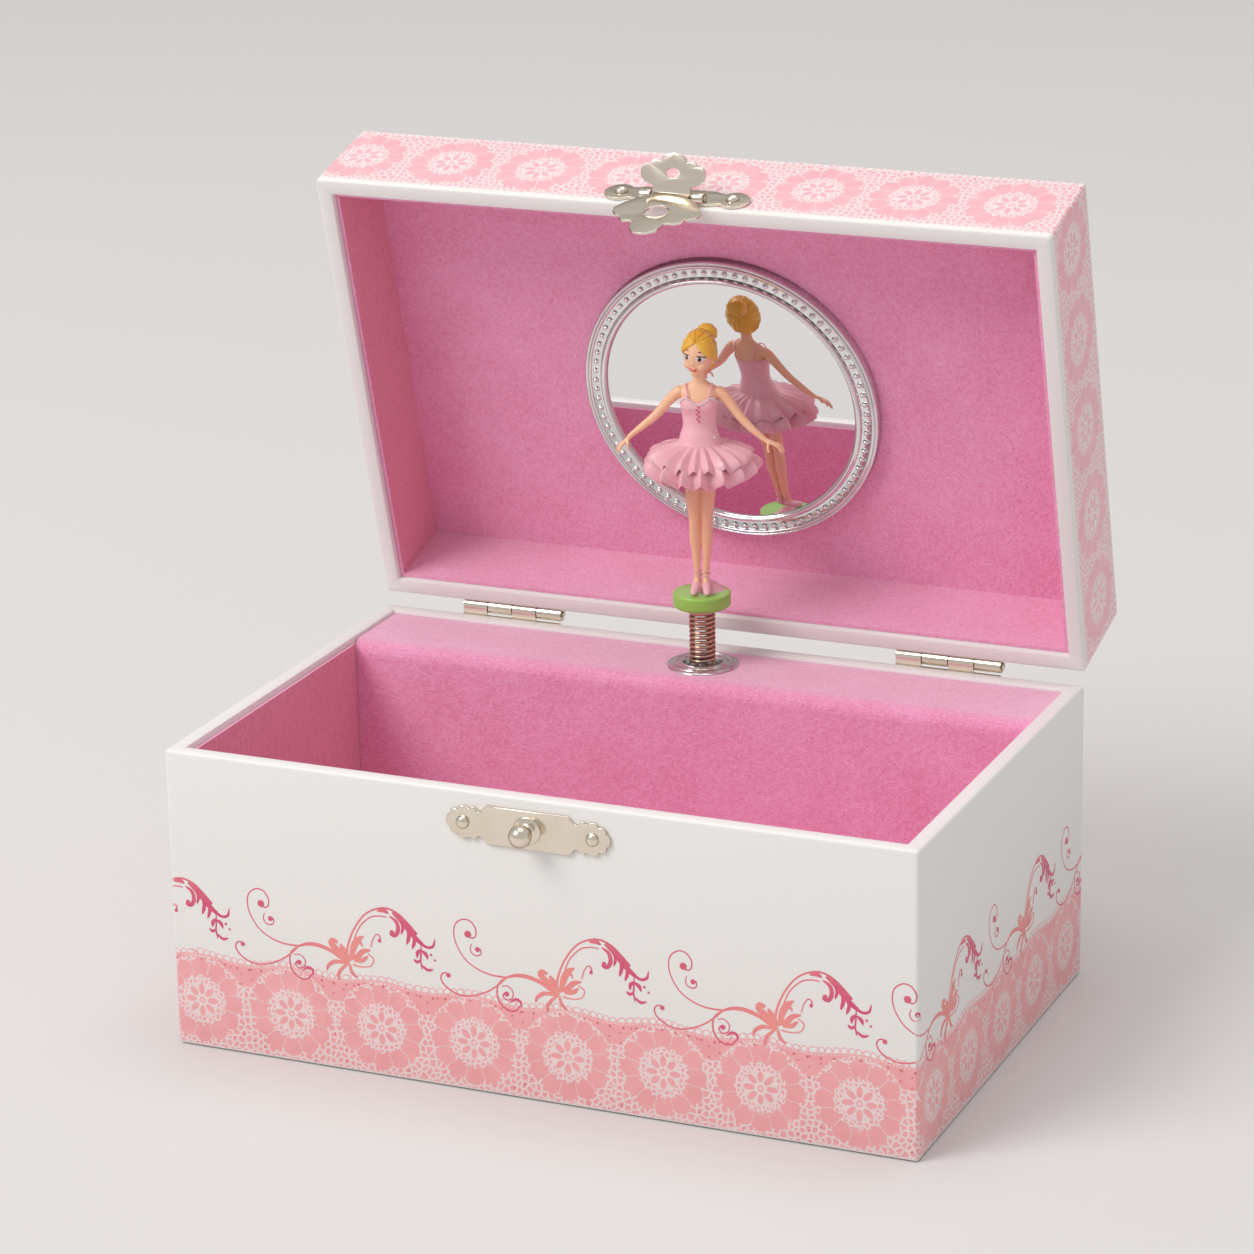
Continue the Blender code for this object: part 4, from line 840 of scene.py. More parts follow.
INK_STEP = 0.002
INK_FOOT = -0.05
BLOB_TINT = 0.85


def add_stroke(bm, tint, points, widths, tints, offset, proud):
    """A tapered stroke as a closed strip whose foot is in the paper and whose face is a hair above it."""
    path = smooth_path([(x, z, 0.0) for x, z in points], 0.55)
    last = len(path) - 1
    start, middle, end = widths
    rows = []
    for i, (x, z, _) in enumerate(path):
        t = i / last
        bulge = 4 * t * (1 - t)
        half = ((start * (1 - t) + end * t) * (1 - bulge) + middle * bulge) / 2
        ahead = path[min(i + 1, last)]
        behind = path[max(i - 1, 0)]
        dx = ahead[0] - behind[0]
        dz = ahead[1] - behind[1]
        size = math.hypot(dx, dz) or 1.0
        nx, nz = -dz / size * half, dx / size * half
        row = []
        for side, lift in ((1, INK_FOOT), (1, proud), (-1, proud), (-1, INK_FOOT)):
            vertex = bm.verts.new(wall_point(x + nx * side + offset, z + nz * side, lift))
            vertex[tint] = tints[0] * (1 - t) + tints[1] * t
            row.append(vertex)
        rows.append(row)
    skin(bm, rows)
    cap(bm, rows)


def add_blob(bm, tint, x, z, radius, proud):
    rings = []
    for lift in (INK_FOOT, proud):
        spots = [wall_point(x + radius * c, z + radius * s, lift) for _, c, s in circle(12)]
        rings.append([bm.verts.new(spot) for spot in spots])
    for vertex in rings[0] + rings[1]:
        vertex[tint] = BLOB_TINT
    skin(bm, rings)
    cap(bm, rings)


def make_scroll():
    bm = bmesh.new()
    tint = bm.verts.layers.float.new("tint")
    for repeat in range(-4, 7):
        offset = SCROLL_START + repeat * SCROLL_PITCH
        proud = INK_PROUD
        for points, widths, tints in SCROLL:
            proud += INK_STEP
            if ALONG[0] + 1 < points[0][0] + offset < ALONG[-1] - 1:
                add_stroke(bm, tint, points, widths, tints, offset, proud)
        for x, z, radius in SCROLL_BLOBS:
            proud += INK_STEP
            if ALONG[0] + 1 < x + offset < ALONG[-1] - 1:
                add_blob(bm, tint, x + offset, z, radius, proud)
    finish_piece("base_scroll_print", bm, INK, "base", sharp_deg=35)


make_papers()
make_scroll()


# ---- the dancer

HEAD = Matrix.Translation((0.1, -0.3, 64.2)) @ Matrix.Rotation(radians(-19), 4, "Z")
HEAD = HEAD @ Matrix.Rotation(radians(4), 4, "Y")
HAIR_FRONT = Vector((0.06, -0.80, 0.60)).normalized()
HAIR_BACK = Vector((0.0, 0.80, 0.60)).normalized()
BUN = Vector((0.1, 3.3, 3.5))
BUN_LEAN = Matrix.Rotation(radians(-48), 4, "X")
PATCH_RINGS = 4
PATCH_SIDES = 20

# the trunk from hips to throat: (height, half width, half depth, centre y)
TRUNK = (
    (40.5, 3.2, 2.5, 0.1), (43.0, 4.0, 3.1, 0.1), (45.2, 4.35, 3.3, 0.0), (47.2, 3.75, 2.8, 0.0),
    (49.6, 3.0, 2.25, 0.0), (51.8, 3.15, 2.45, -0.1), (53.9, 3.5, 2.85, -0.3), (55.4, 3.55, 2.5, -0.2),
    (56.6, 4.1, 1.95, 0.0), (57.4, 3.7, 1.6, 0.15), (58.0, 2.3, 1.35, 0.2), (58.6, 1.4, 1.2, 0.15),
    (59.6, 1.15, 1.12, 0.05), (61.5, 1.15, 1.15, 0.0),
)
# the leg, shoe and dress strap on the +X side: (x, y, z, radius)
LEG = (
    (1.75, 0.0, 43.5, 1.9), (1.6, -0.1, 38.5, 1.68), (1.42, -0.15, 34.0, 1.4), (1.22, -0.25, 30.2, 1.12),
    (1.2, 0.15, 26.6, 1.16), (1.05, 0.15, 23.2, 0.88), (0.86, 0.0, 19.8, 0.66), (0.84, -0.2, 18.2, 0.68),
    (0.95, -1.0, 17.2, 0.62),
)
SHOE = (
    (0.86, 0.75, 18.0, 0.62), (0.9, 0.1, 17.5, 0.86), (1.0, -0.9, 16.9, 0.86), (1.2, -2.1, 16.35, 0.82),
    (1.32, -3.1, 16.05, 0.66), (1.38, -3.7, 15.85, 0.42),
)
STRAP = (
    (2.05, -2.75, 55.9, 0.16), (2.25, -2.35, 56.8, 0.16), (2.5, -1.3, 57.75, 0.16), (2.6, 0.0, 58.0, 0.16),
    (2.5, 1.2, 57.5, 0.16), (2.2, 2.1, 56.2, 0.16), (2.0, 2.5, 54.6, 0.16),
)
# nose tip, nose bridge, mouth, chin, cheeks and ears: (centre, radii)
FEATURES = (
    ((0, -2.86, -1.55), (0.22, 0.42, 0.26)), ((0, -2.80, -1.05), (0.15, 0.28, 0.6)),
    ((0, -2.30, -2.9), (0.6, 0.42, 0.3)), ((0, -1.78, -3.75), (0.75, 0.6, 0.5)),
    ((1.2, -1.75, -2.0), (1.15, 0.78, 1.0)), ((-1.2, -1.75, -2.0), (1.15, 0.78, 1.0)),
    ((3.05, 0.25, -0.95), (0.32, 0.55, 0.8)), ((-3.05, 0.25, -0.95), (0.32, 0.55, 0.8)),
)
# (x, y, z, radius) from the shoulder to the wrist; the hands are (palm, fingers with the thumb last)
ARMS = {
    -1: ((-3.5, 0.1, 56.6, 1.18), (-4.6, 0.0, 55.9, 1.16), (-6.4, -0.1, 54.1, 1.0), (-8.5, -0.4, 51.7, 0.88),
         (-10.9, -0.9, 49.7, 0.76), (-13.1, -1.3, 48.0, 0.56), (-13.9, -1.5, 47.3, 0.5)),
    1: ((3.5, 0.1, 56.6, 1.18), (4.7, 0.0, 55.8, 1.16), (6.4, -0.1, 53.7, 1.0), (8.3, -0.4, 51.2, 0.88),
        (10.6, -0.9, 49.0, 0.76), (12.7, -1.3, 47.3, 0.56), (13.5, -1.5, 46.8, 0.5)),
}
HANDS = {
    -1: (((-13.4, -1.4, 47.7, 0.42), (-14.3, -1.6, 46.9, 0.62), (-15.0, -1.8, 46.1, 0.6)),
         (((-14.8, -2.1, 46.4, 0.3), (-15.4, -2.3, 45.5, 0.27), (-15.5, -2.4, 44.6, 0.22)),
          ((-15.1, -1.9, 46.3, 0.3), (-15.8, -2.0, 45.4, 0.28), (-16.0, -2.0, 44.3, 0.23)),
          ((-15.1, -1.6, 46.3, 0.3), (-15.9, -1.6, 45.5, 0.28), (-16.2, -1.5, 44.6, 0.22)),
          ((-15.0, -1.3, 46.3, 0.27), (-15.8, -1.1, 45.8, 0.25), (-16.1, -0.9, 45.1, 0.2)),
          ((-14.0, -2.0, 46.9, 0.3), (-14.0, -2.6, 46.1, 0.28), (-13.9, -2.8, 45.3, 0.23)))),
    1: (((13.0, -1.4, 47.2, 0.42), (14.0, -1.6, 46.8, 0.62), (14.9, -1.8, 46.4, 0.6)),
        (((14.9, -2.2, 46.4, 0.3), (15.7, -2.4, 45.8, 0.27), (16.2, -2.5, 44.8, 0.22)),
         ((15.2, -1.9, 46.5, 0.3), (16.1, -2.0, 45.8, 0.28), (16.6, -2.1, 44.5, 0.23)),
         ((15.2, -1.6, 46.5, 0.3), (16.2, -1.6, 45.9, 0.28), (16.8, -1.6, 44.8, 0.22)),
         ((15.0, -1.3, 46.5, 0.27), (15.9, -1.1, 46.1, 0.25), (16.5, -0.9, 45.4, 0.2)),
         ((13.7, -2.0, 46.6, 0.3), (13.6, -2.5, 45.7, 0.28), (13.8, -2.8, 44.9, 0.23)))),
}


def head_point(direction, lift=0.0):
    """The doll's egg-shaped head, narrower at the chin, in the direction of a unit vector."""
    x, y, z = direction
    low = max(0.0, -z)
    narrow = 1.0 - 0.27 * low**2.2
    front = 0.92 if y < 0 else 1.0
    half_x, half_y, half_z = (radius + lift for radius in HEAD_RADII)
    return Vector((half_x * x * narrow, half_y * y * front * (1 - 0.18 * low) - 0.55 * low**2, half_z * z))


def trunk_at(height):
    for low, high in zip(TRUNK, TRUNK[1:]):
        if low[0] <= height <= high[0]:
            t = (height - low[0]) / (high[0] - low[0])
            t = t * t * (3 - 2 * t) * 0.4 + t * 0.6
            return [a * (1 - t) + b * t for a, b in zip(low, high)]
    return TRUNK[-1] if height > TRUNK[-1][0] else TRUNK[0]


def on_side(points, side):
    """The +X side's points, mirrored where side is -1."""
    return [(x * side, *others) for x, *others in points]


def make_skin():
    bm = bmesh.new()
    rings = []
    for i in range(60):
        height, half_x, half_y, mid_y = trunk_at(40.5 + 0.35 * i)
        rings.append([bm.verts.new((half_x * c, mid_y + half_y * s, height)) for _, c, s in circle(28)])
    skin(bm, rings)
    cap(bm, rings)
    for side in (-1, 1):
        add_tube(bm, ARMS[side], 14, 0.6)
        palm, fingers = HANDS[side]
        add_tube(bm, palm, 12, 0.3, flat=0.62, side=(0, 1, 0.2))
        for finger in fingers:
            add_tube(bm, finger, 8, 0.3)
        add_tube(bm, on_side(LEG, side), 16, 0.8)
    head = bmesh.ops.create_uvsphere(bm, u_segments=32, v_segments=32, radius=1.0)
    for vertex in head["verts"]:
        vertex.co = HEAD @ head_point(vertex.co.normalized())
    for centre, radii in FEATURES:
        add_ball(bm, HEAD @ Vector(centre), radii, 20, 14, turn=HEAD.to_3x3().to_4x4())
    obj = doll_piece("doll_body", bm, SKIN, stands_for=["dancer"])
    remesh = obj.modifiers.new("Remesh", "REMESH")
    remesh.mode = "VOXEL"
    remesh.voxel_size = SKIN_VOXEL * MM
    soften = obj.modifiers.new("Smooth", "SMOOTH")
    soften.factor = 0.5
    soften.iterations = 5
    applied(obj)
    shade_smooth(obj)
    return obj


def hair_direction(turn, t):
    """A unit vector on the circle through the hair's parting and its gathering, turned about their chord."""
    chord = (HAIR_BACK - HAIR_FRONT) / 2
    middle = (HAIR_BACK + HAIR_FRONT) / 2
    along = chord.normalized()
    up = middle.normalized()
    across = along.cross(up)
    outward = up * cos(turn) + across * sin(turn)
    centre = middle - outward * (middle.length * cos(turn))
    radius = math.sqrt(max(1e-6, 1 - centre.length_squared))
    half = math.atan2(chord.length, middle.length * cos(turn))
    angle = half * (2 * t - 1)
    return (centre + (outward * cos(angle) + along * sin(angle)) * radius).normalized()


def make_hair():
    bm = bmesh.new()
    outer = []
    inner = []
    for i in range(HAIR_ROWS + 1):
        t = 0.02 + 0.97 * i / HAIR_ROWS
        widen = min(max((t - 0.42) / 0.3, 0.0), 1.0)
        reach = radians(124 + 55.9 * widen * widen * (3 - 2 * widen))
        over = []
        under = []
        for k in range(HAIR_COLUMNS + 1):
            s = 2 * k / HAIR_COLUMNS - 1
            turn = s * reach
            direction = hair_direction(turn, t)
            locks = 0.17 * abs(cos(turn * 9.0)) + 0.06 * cos(turn * 29.0)
            parting = 0.16 * exp(-((turn / 0.07) ** 2)) * max(0.0, 1 - t * 1.8)
            rim = min(1.0, (1 - abs(s)) * 26) if widen < 0.98 else 1.0
            lift = 0.06 + (0.28 + locks - parting) * (0.3 + 0.7 * rim) * (0.55 + 0.45 * min(1.0, t * 6))
            over.append(bm.verts.new(HEAD @ head_point(direction, lift)))
            under.append(bm.verts.new(HEAD @ head_point(direction, -0.25)))
        outer.append(over)
        inner.append(under)
    sheets = [outer, inner, [outer[0], inner[0]], [outer[-1], inner[-1]]]
    sheets += [[[row[k] for row in outer], [row[k] for row in inner]] for k in (0, -1)]
    for sheet in sheets:
        skin(bm, sheet, around=False)
    bmesh.ops.remove_doubles(bm, verts=bm.verts, dist=1e-4)
    add_bun(bm)
    doll_piece("doll_hair", bm, HAIR, sharp_deg=60)


def add_bun(bm):
    made = bmesh.ops.create_uvsphere(bm, u_segments=64, v_segments=32, radius=1.0)
    for vertex in made["verts"]:
        x, y, z = vertex.co.normalized()
        swirl = math.atan2(y, x) * 2 + math.acos(clamp(z)) * 3.2
        radius = 1.0 + 0.07 * abs(cos(swirl)) + 0.025 * cos(swirl * 5)
        point = Vector([a * b * radius for a, b in zip((x, y, z), BUN_RADII)])
        vertex.co = HEAD @ (BUN + BUN_LEAN @ point)


def make_hair_trims():
    bm = bmesh.new()
    place = HEAD @ Matrix.Translation(BUN - BUN_LEAN @ Vector((0, 0, 1.0))) @ BUN_LEAN
    add_turned(bm, [(1.55 + 0.26 * c, 0.26 * s) for _, c, s in circle(12)], place, 48, ring=True)
    for _, c, s in circle(10):
        add_ball(bm, place @ Vector((1.78 * c, 1.78 * s, 0.05)), (0.2, 0.2, 0.2), 10, 6)
    doll_piece("hair_band", bm, PINK)
    bm = bmesh.new()
    for offset, radius in (
        ((-0.35, -1.45, 0.35), 0.42), ((-0.9, -1.4, 0.1), 0.26), ((0.2, -1.4, 0.1), 0.26),
    ):
        place = Matrix.Translation(HEAD @ (BUN + Vector(offset)))
        bmesh.ops.create_icosphere(bm, subdivisions=1, radius=radius, matrix=place)
    doll_piece("hair_jewel", bm, PEARL, sharp_deg=10)


def face_patch(bm, tree, x, z, half_x, half_z, tilt=0.0, lift=0.05, shape=None):
    """A thin painted patch that follows the face: a disc, or the outline that shape(angle) gives."""
    place = FIGURE @ HEAD
    forward = (place.to_3x3() @ Vector((0, 1, 0))).normalized()
    rings = []
    for ring in range(PATCH_RINGS + 1):
        share = ring / PATCH_RINGS
        row = []
        for angle, c, s in circle(PATCH_SIDES if ring else 1):
            reach = shape(angle) if shape else 1.0
            px = half_x * share * c * reach
            pz = half_z * share * s * reach
            spot = (x + px * cos(tilt) - pz * sin(tilt), -8.0, z + px * sin(tilt) + pz * cos(tilt))
            hit, _, _, _ = tree.ray_cast((place @ Vector(spot)) * MM, forward)
            if hit is None:
                return
            height = lift * (1.0 - 0.75 * share**4)
            row.append(bm.verts.new(hit / MM - forward * height))
        rings.append(row)
    fan(bm, rings[0][0], rings[1])
    back = [bm.verts.new(v.co + forward * 0.1) for v in rings[-1]]
    skin(bm, rings[1:] + [back])
    bm.faces.new(back)


def almond(angle):
    """An eye's outline: a little flatter at the lids and pointed at the corners."""
    return 1.0 - 0.16 * sin(angle) ** 2 - 0.05 * cos(2 * angle)


def make_face(body):
    """Painted eyes, brows and lips, laid on the moulded head."""
    mesh = body.data
    tree = BVHTree.FromPolygons([v.co for v in mesh.vertices], [p.vertices for p in mesh.polygons])
    whites, irises, darks, browns, lips, glints = (bmesh.new() for _ in range(6))
    for side in (-1, 1):
        face_patch(whites, tree, 1.42 * side, -0.42, 0.84, 0.62, 0.06 * side, 0.04, almond)
        face_patch(irises, tree, 1.36 * side, -0.40, 0.50, 0.54, 0.0, 0.055)
        face_patch(darks, tree, 1.36 * side, -0.38, 0.32, 0.36, 0.0, 0.07)
        face_patch(glints, tree, 1.24 * side - 0.08, -0.18, 0.15, 0.15, 0.0, 0.085)
        face_patch(darks, tree, 1.40 * side, 0.16, 0.72, 0.10, 0.0, 0.075)
        face_patch(darks, tree, 2.06 * side, 0.06, 0.36, 0.09, -0.35 * side, 0.075)
        face_patch(darks, tree, 2.36 * side, 0.10, 0.24, 0.07, 0.55 * side, 0.075)
        face_patch(browns, tree, 1.42 * side, 1.06, 0.52, 0.10, 0.10 * side, 0.05)
        face_patch(browns, tree, 1.92 * side, 1.02, 0.46, 0.08, -0.30 * side, 0.05)
        face_patch(lips, tree, 0.34 * side, -2.76, 0.46, 0.18, 0.22 * side, 0.05)
    face_patch(lips, tree, 0.0, -3.0, 0.60, 0.25, 0.0, 0.05)
    face_patch(browns, tree, 0.0, -2.86, 0.62, 0.03, 0.0, 0.075)
    for name, bm, material in (
        ("eye_whites", whites, PEARL), ("eye_irises", irises, BROWN), ("eye_darks", darks, DARK),
        ("eye_glints", glints, PEARL), ("brows", browns, BROWN), ("lips", lips, LIPS),
    ):
        finish_piece(name, bm, material, "figure", None, sharp_deg=50)


def bodice_top(angle):
    """The sweetheart neckline's height round the body; the front is at -90 degrees."""
    front = cos(angle + pi / 2)
    cup = 1.25 * exp(-(((math.degrees(math.acos(clamp(front))) - 38) / 22) ** 2))
    return NECKLINE_Z + cup - 0.5 * max(0.0, -front)


def bust(off, height):
    """How far the bodice swells off degrees from the front."""
    return 0.42 * exp(-(((off - 36) / 24) ** 2) - ((height - BUST_Z) / 1.6) ** 2)


def make_bodice():
    bm = bmesh.new()
    levels = 22
    rings = []
    for i in range(levels + 1):
        share = i / levels
        ring = []
        for angle, c, s in circle(72):
            height = DRESS_HEM_Z * (1 - share) + bodice_top(angle) * share
            _, half_x, half_y, mid_y = trunk_at(height)
            off = math.degrees(math.acos(clamp(cos(angle + pi / 2))))
            seam = 0.07 * exp(-(((height - LACE_SEAM_Z) / 0.12) ** 2))
            flare = 0.5 * max(0.0, (FLARE_Z - height) / 2.1) ** 2
            edge = 0.12 * exp(-(((1 - share) / 0.03) ** 2))
            lift = DRESS_LIFT + bust(off, height) + flare + edge - seam
            ring.append(bm.verts.new(((half_x + lift) * c, mid_y + (half_y + lift) * s, height)))
        rings.append(ring)
    under = [bm.verts.new((v.co.x * 0.86, v.co.y * 0.86, v.co.z)) for v in rings[-1]]
    skin(bm, rings + [under])
    cap(bm, [rings[0], under])
    for side in (-1, 1):
        add_tube(bm, on_side(STRAP, side), 8, 0.4)
    doll_piece("bodice", bm, PINK, sharp_deg=50)


def on_bodice(angle_deg, height, lift):
    angle = radians(angle_deg - 90)
    _, half_x, half_y, mid_y = trunk_at(height)
    reach = DRESS_LIFT + bust(abs(angle_deg), height) + lift
    return ((half_x + reach) * cos(angle), mid_y + (half_y + reach) * sin(angle), height)


def make_trims():
    pearls = bmesh.new()
    for k in range(-10, 11):
        angle = k * 6.7
        height = bodice_top(radians(angle - 90)) - 0.32
        add_ball(pearls, on_bodice(angle, height, 0.14), (0.21, 0.21, 0.21), 10, 6)
    add_ball(pearls, on_bodice(52, 47.6, 0.05), (0.26, 0.26, 0.26), 10, 8)
    for k in range(4):
        add_ball(pearls, on_bodice(-30 + k * 2, 54.0 - 0.1 * k, 0.1), (0.12, 0.12, 0.12), 8, 6)
    doll_piece("bodice_pearls", pearls, PEARL)
    beads = bmesh.new()
    for k in range(7):
        add_ball(beads, on_bodice(3.2 * (-1) ** k, 54.1 - k * 0.52, 0.1), (0.2, 0.2, 0.24), 8, 6)
    doll_piece("bodice_beads", beads, DEEP_PINK)


def fold(angle, count, sharp=0.85):
    """A pleat wave from -1 to 1 with pointed crests."""
    wave = math.asin(sin(angle * count)) * 2 / pi
    return wave * sharp + sin(angle * count) * (1 - sharp)


def add_ruffle(bm, rows, count, phase, thick):
    """A pleated skirt layer from rows of (radius, height, radial fold, vertical fold)."""
    top = []
    bottom = []
    for index, (radius, height, radial, vertical) in enumerate(rows):
        over = []
        under = []
        for angle, c, s in circle(360):
            wave = fold(angle + phase + 0.05 * sin(angle * 4 + phase), count)
            wobble = 1 + 0.26 * sin(angle * 5 + phase * 3) + 0.18 * sin(angle * 3 + 1.3)
            r = radius + radial * wave * wobble
            z = height + vertical * wave * wobble + 0.25 * sin(angle * 2 + 0.6) * index / len(rows)
            over.append(bm.verts.new((r * c, r * s, z)))
            r -= thick * 0.35
            under.append(bm.verts.new((r * c, r * s, z - thick)))
        top.append(over)
        bottom.append(under)
    for rings in (top, bottom, [top[0], bottom[0]], [top[-1], bottom[-1]]):
        skin(bm, rings)


def make_tutu():
    bm = bmesh.new()
    upper = (
        (3.6, 46.0, 0.0, 0.0), (4.9, 45.8, 0.02, 0.14), (6.4, 45.4, 0.08, 0.30),
        (8.1, 44.7, 0.20, 0.48), (9.5, 43.8, 0.38, 0.66), (10.2, 42.9, 0.52, 0.76),
    )
    lower = (
        (4.6, 44.7, 0.0, 0.0), (6.8, 44.2, 0.1, 0.15), (8.8, 43.3, 0.46, 0.42),
        (9.9, 42.2, 0.95, 0.70), (10.4, 41.0, 1.30, 0.90), (10.4, 40.0, 1.42, 1.00),
    )
    inner = ((3.4, 43.6, 0.0, 0.0), (5.6, 42.6, 0.1, 0.1), (7.6, 41.2, 0.4, 0.4), (8.9, 39.9, 0.8, 0.7))
    add_ruffle(bm, upper, 20, 0.1, 0.34)
    add_ruffle(bm, lower, 16, 0.35, 0.5)
    add_ruffle(bm, inner, 15, 0.9, 0.36)
    doll_piece("tutu_ruffles", bm, PINK, ["tutu"], sharp_deg=70)


def make_shoes():
    bm = bmesh.new()
    for side in (-1, 1):
        add_tube(bm, on_side(SHOE, side), 16, 0.4, flat=0.9, side=(1, 0, 0))
        for low, radius in ((18.9, 0.80), (19.7, 0.76)):
            ring = []
            for angle, c, s in circle(24) + circle(24)[:1]:
                height = low + 0.25 * sin(angle + side)
                ring.append((0.86 * side + radius * c, radius * s - 0.05, height, 0.12))
            add_tube(bm, ring, 6, smooth=False)
    doll_piece("ballet_shoes", bm, PINK, sharp_deg=60)


def make_stand():
    bm = bmesh.new()
    foot, top = DISC_Z
    profile = [(0.0, top), (DISC_R, top), (DISC_R, foot + 0.35), (DISC_R - 0.6, foot), (0.0, foot)]
    add_turned(bm, rounded(profile, {1: 0.45, 2: 0.4, 3: 0.3}, 5), None, 72)
    doll_piece("stand_disc", bm, GREEN, ["figure_stand"])
    bm = bmesh.new()
    profile = [(0.0, 12.4), (4.2, 12.4), (4.35, 11.9), (3.4, 11.5), (2.75, 11.35), (0.0, 11.35)]
    add_turned(bm, rounded(profile, {1: 0.2, 2: 0.3, 3: 0.3}), None, 64)
    rings = []
    for i in range(15):
        share = i / 14
        height = top - 0.1 + 2.1 * cos(share * pi / 2) ** 1.7
        ring = []
        for angle, c, s in circle(48 if i else 1):
            r = 3.1 * share * (1.0 + 0.12 * sin(angle * 3 + 0.5))
            ring.append(bm.verts.new((1.55 + r * c * 1.05, 1.2 + r * s, height)))
        rings.append(ring)
    fan(bm, rings[0][0], rings[1])
    skin(bm, rings[1:])
    bm.faces.new(rings[-1])
    doll_piece("stand_cup", bm, PINK)


# ---- spring, eyelet and mirror


def make_spring():
    bm = bmesh.new()
    low = LEDGE_Z + 0.5
    high = LEDGE_Z + SPRING_TOP - 0.15
    steps = SPRING_TURNS * 20
    points = []
    for i in range(steps + 1):
        t = i / steps
        angle = TAU * SPRING_TURNS * t
        spot = (SPRING_R * cos(angle), FIGURE_Y + SPRING_R * sin(angle), low + (high - low) * t)
        points.append((*spot, SPRING_WIRE_R))
    add_tube(bm, points, smooth=False)
    bmesh.ops.recalc_face_normals(bm, faces=bm.faces)
    obj = to_object("coil_spring", bm)
    obj.data.materials.append(COPPER)
    shade_smooth(obj)
    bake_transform(obj)
    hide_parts("figure_spring")


def make_eyelet():
    bm = bmesh.new()
    profile = [
        (3.75, -2.6), (3.75, 0.45), (3.95, 0.78), (4.35, 0.9), (4.8, 0.82), (5.1, 0.55), (5.25, 0.42),
        (5.5, 0.44), (5.75, 0.62), (6.05, 0.66), (6.5, 0.55), (7.0, 0.32), (7.2, 0.08), (7.15, 0.0),
        (4.45, 0.0), (4.3, -2.6),
    ]
    place = Matrix.Translation((0, FIGURE_Y, LEDGE_Z + 0.02))
    add_turned(bm, profile, place, 96, ring=True)
    stands_for = ["ledge_eyelet"]
    finish_piece("rolled_eyelet", bm, EYELET, "base", None, stands_for, sharp_deg=60)


def make_mirror():
    place = LID @ Matrix.Translation((0, MIRROR_Y, 0))
    bm = bmesh.new()
    profile = [
        (31.3, 79.0), (31.3, 77.3), (31.22, 76.95), (31.0, 76.8), (30.78, 76.86), (30.62, 77.0),
        (30.5, 76.82), (30.28, 76.66), (30.05, 76.7), (29.92, 76.92), (29.8, 77.02), (28.0, 77.02),
        (27.9, 76.9), (27.7, 76.45), (27.3, 76.22), (26.9, 76.28), (26.6, 76.6), (26.5, 77.0),
        (26.5, 79.0),
    ]
    add_turned(bm, profile, None, 160, ring=True)
    for _, c, s in circle(BEADS):
        add_ball(bm, (BEAD_CIRCLE_R * c, BEAD_CIRCLE_R * s, BEAD_Z), (BEAD_R, BEAD_R, 0.55))
    ring = finish_piece(
        "beaded_frame", bm, SILVER, "lid", place, ["mirror_frame"], sharp_deg=50
    )
    lean = Matrix.Rotation(radians(FRAME_LEAN_DEG), 3, "X")
    ring.data.normals_split_custom_set([tuple(lean @ corner.vector) for corner in ring.data.corner_normals])
    bm = bmesh.new()
    top, face = GLASS_Z
    add_turned(bm, [(0.0, top), (GLASS_R, top), (GLASS_R, face), (0.0, face)], None, 128)
    glass = finish_piece("mirror_face", bm, MIRROR, "lid", place, ["mirror_glass"], sharp_deg=30)
    lean_reflection(glass)


def lean_reflection(glass):
    """The glass shows what a nearly upright mirror would, so its shading normals stand almost level."""
    tilt = radians(REFLECTION_TILT_DEG)
    level = Vector((0, -cos(tilt), -sin(tilt)))
    down = (LID.to_3x3() @ Vector((0, 0, -1))).normalized()
    normals = []
    for polygon in glass.data.polygons:
        facing = polygon.normal.dot(down) > 0.99
        normals += [tuple(level if facing else polygon.normal)] * polygon.loop_total
    glass.data.normals_split_custom_set(normals)


# ---- latch, clasp and hasp


def soften_stamping(name, body, width):
    """A copy of a stamped piece with its edges rounded, in place of the CAD's."""
    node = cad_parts[name]
    bm = bmesh.new()
    bm.from_mesh(node.data)
    bmesh.ops.transform(bm, matrix=node.matrix_world, verts=bm.verts)
    bmesh.ops.remove_doubles(bm, verts=bm.verts, dist=1e-6)
    bmesh.ops.dissolve_limit(bm, angle_limit=radians(0.5), verts=bm.verts, edges=bm.edges)
    bmesh.ops.scale(bm, vec=(1 / MM, 1 / MM, 1 / MM), verts=bm.verts)
    obj = finish_piece("smooth_" + name, bm, NICKEL, body, None, [name], sharp_deg=0)
    bevelled(obj, width, 50)


def stamp_latch():
    """The latch's plate: a long panel with chamfered corners and a scalloped ear at each end."""
    upper = [(x, -y) for x, y in reversed(LATCH_EDGE)]
    ear = smooth_path(LATCH_EDGE[2:] + [LATCH_TIP] + upper[:-2], 0.2)
    right = LATCH_EDGE[:2] + ear + upper[-2:]
    around = right + [(-x, -y) for x, y in right]
    bm = bmesh.new()
    place = face_front((0, -HALF_D - 0.1, LATCH_Z))
    rings = [[bm.verts.new(place @ Vector((x, y, z))) for x, y in around] for z in (0.0, LATCH_THICK)]
    skin(bm, rings)
    cap(bm, rings)
    stands_for = ["latch_plate"]
    obj = finish_piece("stamped_latch_plate", bm, NICKEL, "base", None, stands_for, sharp_deg=0)
    bevelled(obj, 0.2, 60)


def face_front(point):
    """From a drawing whose +Z looks out of the box's front, to a point there."""
    return Matrix.Translation(point) @ Matrix.Rotation(pi / 2, 4, "X")


def add_dome(bm, point):
    profile = [(0.0, -0.3), (DOME_R * 0.9, -0.3), (DOME_R, -0.05)]
    for i in range(9):
        angle = pi / 2 * i / 9
        profile.append((DOME_R * cos(angle), DOME_H * sin(angle)))
    add_turned(bm, profile + [(0.0, DOME_H)], face_front(point), 40)


